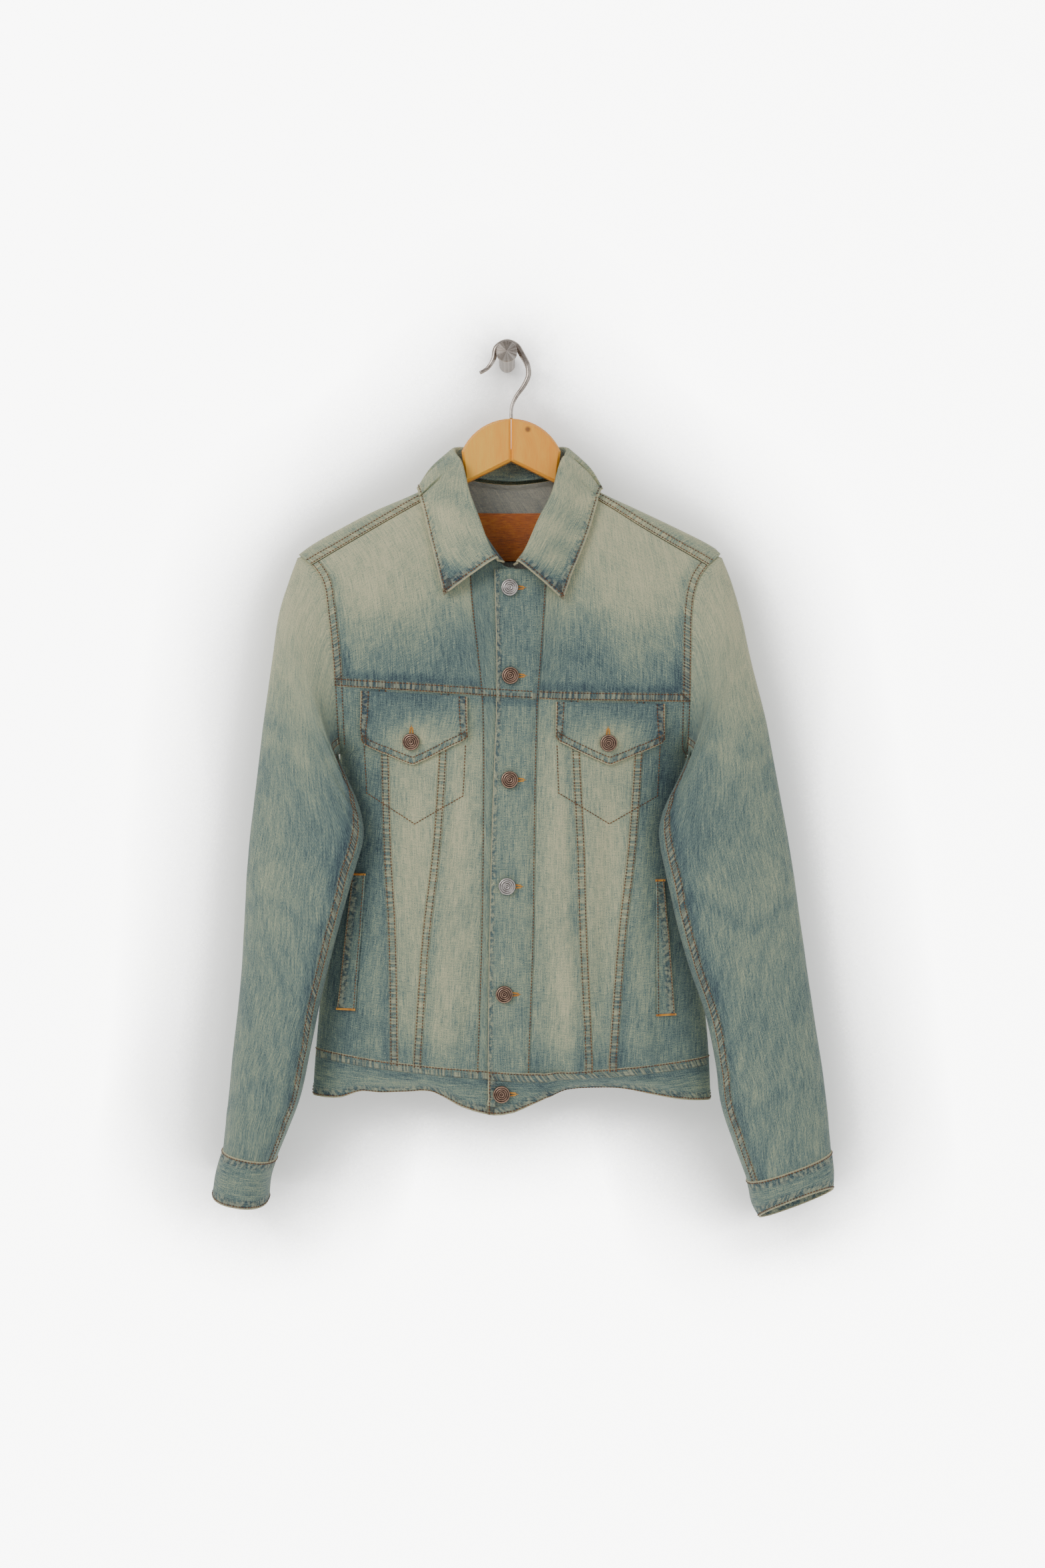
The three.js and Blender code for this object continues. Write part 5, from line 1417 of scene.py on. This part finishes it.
# %% [markdown]
# ## Stitches
# Seams, hems and pocket outlines are sewn in thick brown thread, two rows on each felled seam
# and one on an edge. A stitch is a small bead of thread, long along its row and pressed a tenth
# of a millimetre into the cloth. One bead is made from a sphere with few faces, and all the
# stitches of a part of the jacket are copies of it in one mesh, placed by their row's direction
# and the cloth's normal.

# %% Stitches
bead = bmesh.new()
bmesh.ops.create_uvsphere(bead, u_segments=5, v_segments=4, radius=1)
BEAD_POINTS = np.array([vert.co for vert in bead.verts])
BEAD_FACES = [[vert.index for vert in face.verts] for face in bead.faces]
bead.free()
BEAD_FLATNESS = 1.15


def even_steps(line, normals, pitch):
    """Points, directions and normals at an even pitch along a line."""
    reach = np.concatenate([[0], np.cumsum(np.linalg.norm(np.diff(line, axis=0), axis=1))])
    count = max(int(reach[-1] / pitch), 2)
    at = (np.arange(count) + 0.5) * reach[-1] / count
    pick = lambda values: np.stack([np.interp(at, reach, values[:, k]) for k in range(3)], -1)
    centre = pick(line)
    ahead = np.stack([np.interp(at + 0.3, reach, line[:, k]) for k in range(3)], -1)
    back_one = np.stack([np.interp(at - 0.3, reach, line[:, k]) for k in range(3)], -1)
    return centre, unit(ahead - back_one), unit(pick(normals))


def beads(rows, half_length, radius, sink=0.1):
    made = []
    for centre, along, normal in rows:
        sideways = unit(np.cross(along, normal))
        lifted = centre + normal * (radius - sink)
        made.append(
            lifted[:, None]
            + BEAD_POINTS[None, :, 2:] * half_length * along[:, None]
            + BEAD_POINTS[None, :, :1] * radius * BEAD_FLATNESS * sideways[:, None]
            + BEAD_POINTS[None, :, 1:2] * radius * normal[:, None]
        )
    return np.concatenate(made)


def sewing(name, groups, finish):
    places = np.concatenate([group.reshape(-1, 3) for group in groups]) * MM
    count = len(places) // len(BEAD_POINTS)
    size = len(BEAD_POINTS)
    faces = [[k * size + i for i in face] for k in range(count) for face in BEAD_FACES]
    mesh = bpy.data.meshes.new(name)
    mesh.from_pydata(places.tolist(), [], faces)
    bm = bmesh.new()
    bm.from_mesh(mesh)
    bmesh.ops.recalc_face_normals(bm, faces=bm.faces)
    bm.to_mesh(mesh)
    bm.free()
    mesh.shade_smooth()
    mesh.materials.append(finish)
    piece = bpy.data.objects.new(name, mesh)
    bpy.context.scene.collection.objects.link(piece)
    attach(piece, "root")
    print(name, count, "stitches")
    return piece


def row_on(name, side_name, inset, first=0.0, last=1.0):
    """A row of points on a piece, a set distance in from one edge, from one part of it to another."""
    outer, n = CLOTH_GRIDS[name]
    if side_name in ("top", "bottom"):
        outer, n = outer.transpose(1, 0, 2), n.transpose(1, 0, 2)
    if side_name in ("right", "bottom"):
        outer, n = outer[:, ::-1], n[:, ::-1]
    reach = lengths(outer, 1)
    start, end = int(first * (len(outer) - 1)), int(last * (len(outer) - 1)) + 1
    pick = lambda grid, i: [np.interp(inset, reach[i], grid[i, :, k]) for k in range(3)]
    line = np.array([pick(outer, i) for i in range(start, end)])
    normals = np.array([pick(n, i) for i in range(start, end)])
    return line, normals


def row_over_front(corners, lift=0.0):
    """A row over the front between corners given as x, z."""
    line = []
    for (x0, z0), (x1, z1) in zip(corners, corners[1:]):
        t = np.linspace(0, 1, 24)
        line.append(body_on(mix(x0, x1, t), mix(z0, z1, t), -1))
    line = np.concatenate(line)
    x, z = line[:, 0], line[:, 2]
    sideways = body_on(x + 1, z, -1) - body_on(x - 1, z, -1)
    upward = body_on(x, z + 1, -1) - body_on(x, z - 1, -1)
    n = unit(np.cross(sideways, upward))
    n = n * np.where(n[:, 1:2] > 0, -1, 1)
    return line + n * lift, n


PITCH = 3.1
BROWN_BEAD = {"half_length": 1.3, "radius": 0.48}


def seam_rows(*wanted):
    rows = []
    for name, side_name, insets, *part in wanted:
        for inset in insets:
            rows.append(even_steps(*row_on(name, side_name, inset, *part), PITCH))
    return beads(rows, **BROWN_BEAD)


FELLED = (1.3, 7.4)
front_rows = seam_rows(
    ("front_yoke_left", "left", FELLED), ("front_yoke_left", "bottom", FELLED),
    ("front_yoke_right", "right", FELLED), ("front_yoke_right", "bottom", FELLED),
    ("front_side_left", "right", FELLED), ("front_centre_left", "left", FELLED),
    ("front_side_right", "left", FELLED), ("front_centre_right", "right", FELLED),
    ("front_side_left", "left", FELLED, 0.0, 0.16), ("front_side_right", "right", FELLED, 0.0, 0.16),
    ("placket_left", "left", (1.5,)), ("placket_right", "right", (1.5,)),
    ("waistband", "top", (1.5,)), ("waistband", "bottom", (2.2,)), ("waistband", "right", (2.0,)),
    ("welt_left", "left", (1.4,)), ("welt_left", "right", (1.4,)),
    ("welt_right", "left", (1.4,)), ("welt_right", "right", (1.4,)),
)
TOPSTITCHED = (1.6, 8.0)
flap_edges = [
    (name, edge, TOPSTITCHED) for name in ("flap_left", "flap_right") for edge in ("left", "right", "bottom")
]
edge_rows = seam_rows(
    *flap_edges,
    ("collar", "bottom", (3.2,)), ("collar", "left", (3.2,), 0.5, 1.0), ("collar", "right", (3.2,), 0.5, 1.0),
    ("cuff_left", "top", (2.0,)), ("cuff_left", "bottom", (2.4,)),
    ("cuff_right", "top", (2.0,)), ("cuff_right", "bottom", (2.4,)),
)
other_rows = seam_rows(
    ("back_yoke", "top", FELLED), ("back_yoke", "bottom", FELLED),
    ("back_side_left", "right", FELLED), ("back_side_right", "left", FELLED),
    ("sleeve_upper_left", "right", FELLED), ("sleeve_upper_right", "right", FELLED),
)
POUCHES = (
    ((-143.5, -397), (-141, -445), (-92, -476), (-43.5, -448), (-41, -397)),
    ((50.5, -397), (52, -445), (103, -476), (152, -448), (154.5, -397)),
)
band_rows = []
for down in FELLED:
    for start, end, lift in ((-38, -10, 0.0), (-8, 26, STRIP + LAY_GAP + 0.1)):
        corners = [(x, float(yoke_seam(float(x))) + YOKE_BAND - down) for x in (start, end)]
        band_rows.append(even_steps(*row_over_front(corners, lift), PITCH))
pouch_rows = beads([even_steps(*row_over_front(corners), PITCH) for corners in POUCHES], **BROWN_BEAD)
sewing("stitches_front", [front_rows, pouch_rows, beads(band_rows, **BROWN_BEAD)], brown_thread)
sewing("stitches_edges", [edge_rows], brown_thread)
sewing("stitches_back_and_sleeves", [other_rows], brown_thread)
patch_rows = seam_rows(*(("neck_patch", edge, (2.5,)) for edge in ("left", "right", "top", "bottom")))

# %% [markdown]
# ## Bar tacks and buttonholes
# Where a pocket is pulled, a bar tack holds it: a dense bar of short golden stitches across the
# strain. A keyhole buttonhole is edged with the same thread, and only its outer end shows beside
# the button. Each is a row of short stitches side by side, across its own line.


# %% Bar tacks and buttonholes
def tack(corners, half_width_mm, lift, pitch=0.75, taper=False):
    centre, along, normal = even_steps(*row_over_front(corners, lift), pitch)
    across = unit(np.cross(along, normal))
    made = beads([(centre, across, normal)], half_length=half_width_mm, radius=0.4)
    if taper:
        share = np.linspace(1, 0.35, len(centre))[:, None, None]
        made = centre[:, None] + (made - centre[:, None]) * np.concatenate([share] * 3, -1)
    return made


def keyhole(x, z, lift, upright=False):
    step = (lambda a: (x, z + a)) if upright else (lambda a: (x + a, z))
    offset = (lambda a, o: (x + o, z + a)) if upright else (lambda a, o: (x + a, z + o))
    rows = []
    for side_of_slot in (-1, 1):
        near, far = offset(6.0, 1.7 * side_of_slot), offset(14.0, 0.9 * side_of_slot)
        rows.append(tack((near, far), 0.95, lift, pitch=0.7))
    rows.append(tack((step(13.6), step(17.0)), 0.9, lift, pitch=0.7, taper=True))
    return rows


OVER_STRIP = STRIP + LAY_GAP + 0.1
BUTTON_PLACES = table(
    "name x z lift",
    ("button_1", 3.3, -240, 2.9), ("button_2", 4, -328, 2.9), ("button_3", 3.3, -432, 2.9),
    ("button_4", 0.7, -538, 2.9), ("button_5", -2, -645.3, 2.9), ("button_6", -4.7, -744, 2.5),
    ("flap_button_left", -94.7, -393.3, 3.7), ("flap_button_right", 101.3, -394.7, 3.7),
)
gold = []
for place in BUTTON_PLACES:
    on_flap = place["name"].startswith("flap")
    lift = STRIP + LAY_GAP * 1.6 if on_flap else OVER_STRIP
    if place["name"] == "button_6":
        lift = OVER_STRIP + 1.2
    gold += keyhole(place["x"], place["z"], lift, upright=on_flap)
on_welt = CLOTH + LAY_GAP
BAR_TACKS = table(
    "start end z", (-160, -141, -527), (-171, -151, -663), (148.5, 159, -533), (149, 170, -668)
)
for bar in BAR_TACKS:
    gold.append(tack(((bar["start"], bar["z"]), (bar["end"], bar["z"])), 1.3, on_welt))
sewing("buttonholes_and_bar_tacks", gold + [patch_rows], gold_thread)

# %% [markdown]
# ## Tack buttons
# A jeans button is a stamped cap on a riveted shank: a rolled rim, a groove, a raised ring and a
# small centre. Its profile is spun round, and the distance from the centre is kept on the mesh,
# so the finish can be bright on the rubbed rim and can lay light and dark rings round the
# centre, which are painted highlights and painted shade of the cap's rings. Four front buttons
# and the flap buttons are dark copper, and the first and the fourth are worn to grey metal.

# %% Tack buttons
BUTTON_PROFILE = (
    (0.0, 0.0), (4.0, 0.0), (4.0, 1.2), (7.6, 1.3), (8.4, 1.5), (8.7, 2.0), (8.6, 2.9), (8.2, 3.7),
    (7.6, 4.1), (7.0, 4.0), (6.6, 3.5), (6.1, 3.45), (5.7, 3.8), (5.2, 3.85), (4.9, 3.5), (3.3, 3.4),
    (2.9, 3.7), (2.3, 3.8), (1.9, 3.5), (1.2, 3.45), (0.7, 3.75), (0.0, 3.85),
)


def spun(name, profile, steps):
    bm = bmesh.new()
    verts = [bm.verts.new((r * MM, 0, h * MM)) for r, h in profile]
    edges = [bm.edges.new(pair) for pair in zip(verts, verts[1:])]
    bmesh.ops.spin(
        bm, geom=verts + edges, cent=(0, 0, 0), axis=(0, 0, 1), angle=2 * math.pi, steps=steps, use_merge=True
    )
    bmesh.ops.remove_doubles(bm, verts=bm.verts, dist=1e-6)
    bmesh.ops.recalc_face_normals(bm, faces=bm.faces)
    mesh = bpy.data.meshes.new(name)
    bm.to_mesh(mesh)
    bm.free()
    mesh.shade_smooth()
    reach = np.array([math.hypot(v.co.x, v.co.y) for v in mesh.vertices], np.float32)
    radius = mesh.attributes.new("radius", "FLOAT", "POINT")
    radius.data.foreach_set("value", reach)
    return mesh


def show(piece, node_name, finish):
    bpy.context.scene.collection.objects.link(piece)
    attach(piece, "root")
    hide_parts(node_name)
    piece.data.materials.append(finish)


def metal(name, groove, field, rubbed, roughness):
    made, tree, shader = material(name)
    place = node(tree, "ShaderNodeTexCoord").outputs["Object"]
    radius = attribute(tree, "radius")
    # The sine of the radius lays light and dark rings round the centre: painted highlights and painted shade
    # of the cap's rings.
    painted_ring_highlights = maths(tree, "SINE", maths(tree, "MULTIPLY_ADD", radius, 3300.0, 1.2))
    cloudy = noise(tree, place, scale=420.0, detail=4.0)
    level = maths(tree, "MULTIPLY_ADD", painted_ring_highlights, 0.2, maths(tree, "MULTIPLY_ADD", cloudy, 0.4, 0.34))
    rim = remap(tree, radius, 0.0072, 0.0082, 0.0, 0.14)
    level = maths(tree, "ADD", level, rim)
    colour = ramp(tree, level, (0.34, groove), (0.52, field), (0.74, rubbed))
    fill(tree, shader, {
        "Base Color": colour, "Normal": bump(tree, cloudy, 0.0003),
        "Roughness": remap(tree, cloudy, 0.3, 0.7, roughness - 0.08, roughness + 0.12), "Metallic": 0.85,
    })
    return made


copper = metal("dark copper", srgb(50, 34, 28), srgb(96, 72, 60), srgb(176, 146, 126), 0.4)
worn_grey = metal("worn grey metal", srgb(96, 88, 84), srgb(158, 150, 146), srgb(206, 202, 198), 0.36)
for place in BUTTON_PLACES:
    x, z = place["x"], place["z"]
    right = body_on(x + 8.0, z, -1) - body_on(x - 8.0, z, -1)
    down = body_on(x, z - 8.0, -1) - body_on(x, z + 8.0, -1)
    out = unit(np.cross(right, down))
    out = out if out[1] < 0 else -out
    seat = body_on(x, z, -1) + out * (place["lift"] + 0.3)
    if place["name"] == "button_6":
        seat[1] += hem_tuck(x) * 0.3 - 0.6
    mesh = spun(place["name"] + "_cap", BUTTON_PROFILE, 40)
    turn = Vector((0, 0, 1)).rotation_difference(Vector(out)).to_matrix().to_4x4()
    mesh.transform(Matrix.Translation(Vector(seat * MM)) @ turn)
    grey = place["name"] in ("button_1", "button_4")
    piece = bpy.data.objects.new(place["name"] + "_cap", mesh)
    show(piece, place["name"], worn_grey if grey else copper)
print(len(BUTTON_PLACES), "buttons")

# %% [markdown]
# ## Hook and peg
# The hook is nickel-plated wire, flattened and thicker where it bends over the peg. It is a
# curve through the wire's centre with a radius at each point, turned into a mesh. The peg is a
# turned stem with a flat knob, whose face keeps the fine circles of the lathe, with a painted
# reflection over them, light and dark in sectors round its axis.

# %% Hook and peg
HOOK = table(
    "x z radius",
    (-27.3, -18.5, 1.8), (-19.5, -13.5, 2), (-13.6, -4.5, 2.6), (-10.4, 7.4, 3), (-0.5, 12.7, 3.4),
    (9.4, 9.4, 3.2), (15.8, -0.5, 3.1), (21, -10.5, 2.9), (22, -21, 2.7), (17, -32, 2.4),
    (9.8, -42, 2.1), (5.6, -51, 1.8), (4.5, -58, 1.75), (4.5, -65, 1.75),
)
t = np.linspace(0, 1, 90)
controls = [np.broadcast_to((row["x"], HANG_Y, row["z"]), (90, 3)) for row in HOOK]
wire_line = through(controls, t)
wire_radius = np.interp(t * (len(HOOK) - 1), range(len(HOOK)), [row["radius"] for row in HOOK])
wire = bpy.data.curves.new("wire", "CURVE")
wire.dimensions = "3D"
wire.bevel_depth = MM
wire.bevel_resolution = 5
wire.use_fill_caps = True
spline = wire.splines.new("POLY")
spline.points.add(len(t) - 1)
for point, place, radius in zip(spline.points, wire_line * MM, wire_radius):
    point.co = (*place, 1)
    point.radius = radius
guide = bpy.data.objects.new("wire guide", wire)
hook_mesh = bpy.data.meshes.new_from_object(guide)
bpy.data.objects.remove(guide)
bm = bmesh.new()
bm.from_mesh(hook_mesh)
bmesh.ops.remove_doubles(bm, verts=bm.verts, dist=1e-6)
bmesh.ops.recalc_face_normals(bm, faces=bm.faces)
bm.to_mesh(hook_mesh)
bm.free()
hook_mesh.shade_smooth()


def plated(name, light, dark, roughness):
    made, tree, shader = material(name)
    place = node(tree, "ShaderNodeTexCoord").outputs["Object"]
    haze = noise(tree, place, scale=160.0, detail=5.0)
    fill(tree, shader, {
        "Base Color": ramp(tree, haze, (0.3, dark), (0.7, light)),
        "Roughness": remap(tree, haze, 0.3, 0.7, roughness, roughness + 0.14), "Metallic": 1.0,
    })
    return made


nickel = plated("nickel plate", srgb(208, 198, 188), srgb(150, 138, 128), 0.16)
show(bpy.data.objects.new("hook_wire", hook_mesh), "hanger_hook", nickel)

PEG_PROFILE = (
    (0, 0), (8.3, 0), (8.3, 53.9), (9.9, 54.0), (10.4, 54.3), (10.6, 54.9), (10.6, 60.9),
    (10.3, 61.6), (9.6, 62.0), (0, 62.0),
)
made, tree, shader = material("turned metal")
place = node(tree, "ShaderNodeTexCoord").outputs["Object"]
x, y, z = node(tree, "ShaderNodeSeparateXYZ", {0: place}).outputs
# A pattern in sectors round the axis, light and dark like a bow tie, is a painted reflection of the turned
# face.
angle = maths(tree, "ARCTAN2", z, x)
reflection_sectors = vector(tree, maths(tree, "SINE", times(tree, angle, 2.0)), maths(tree, "COSINE", angle))
painted_reflection_rays = noise(tree, reflection_sectors, scale=2.4)
circles = noise(tree, vector(tree, attribute(tree, "radius")), scale=2600.0, detail=2.0)
tone = maths(tree, "MULTIPLY_ADD", circles, 0.3, maths(tree, "MULTIPLY", painted_reflection_rays, 0.7))
greys = ((0.3, srgb(104, 95, 88)), (0.5, srgb(150, 140, 131)), (0.7, srgb(214, 206, 198)))
fill(tree, shader, {
    "Base Color": ramp(tree, tone, *greys), "Normal": bump(tree, circles, 0.0002),
    "Roughness": remap(tree, tone, 0.3, 0.7, 0.3, 0.42), "Metallic": 0.9,
})
peg_mesh = spun("peg_turned", PEG_PROFILE, 64)
peg_mesh.transform(Matrix.Rotation(math.radians(90), 4, "X"))
show(bpy.data.objects.new("peg_turned", peg_mesh), "wall_peg", made)
print("hook and peg are made")

# %% [markdown]
# ## What each sheet was cut to
# For each piece, the width and length of the flat piece that it was cut to, its area, how it is
# held and what carries it are worked out, and its size and area are printed. The width is the
# widest row of its grid and the length is its longest column, so a curved or tapering piece has a
# smaller area.
# The area is rounded to a square centimetre, and down where it would else pass width by length.


# %% What each sheet was cut to
SQUARE_CM = 1e-4


def cut_of(name):
    outer, _ = CLOTH_GRIDS[name]
    width = lengths(outer, 1)[:, -1].max() * MM
    length = lengths(outer, 0)[-1].max() * MM
    sides = np.cross(outer[1:, :-1] - outer[:-1, 1:], outer[1:, 1:] - outer[:-1, :-1])
    area = np.linalg.norm(sides, axis=-1).sum() / 2 * MM**2
    width, length = round(float(width), 3), round(float(length), 3)
    whole_box = math.floor(width * length / SQUARE_CM) * SQUARE_CM
    return (width, length), round(min(round(float(area), 4), whole_box), 4)


HELD_BY = {
    "back_yoke": ("hung", ["hanger_left", "hanger_right"]),
    "collar": ("folded", ["back_yoke", "front_yoke_left", "front_yoke_right"]),
    "neck_patch": ("laid", ["back_yoke"]),
    "waistband": ("gathered", ["front_side_left", "back_centre", "front_side_right"]),
    "placket_left": ("hung", ["front_yoke_left"]),
    "placket_right": ("hung", ["front_yoke_right", "placket_left"]),
}
CARRIED_ON = {
    "front_yoke": "back_yoke", "front_side": "front_yoke", "front_wedge": "front_yoke",
    "front_centre": "front_yoke", "back_side": "back_yoke", "back_centre": "back_yoke",
    "sleeve_upper": "back_yoke", "sleeve_under": "back_yoke", "cuff": "sleeve_upper",
    "flap": "front_yoke", "welt": "front_side",
}
for name, piece in PIECES.items():
    stem, _, hand = name.rpartition("_")
    carrier = CARRIED_ON.get(name) or CARRIED_ON.get(stem)
    if carrier and carrier != "back_yoke":
        carrier = carrier + "_" + hand
    held, rests_on = HELD_BY.get(name) or ("laid" if stem == "welt" else "hung", [carrier])
    (width, length), area = cut_of(name)
    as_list(rests_on)
    print(f"{name}: {width * 1000:.0f} by {length * 1000:.0f} mm, {area * 1e4:.0f} cm2")

# %% End
print("all sizes are printed above")
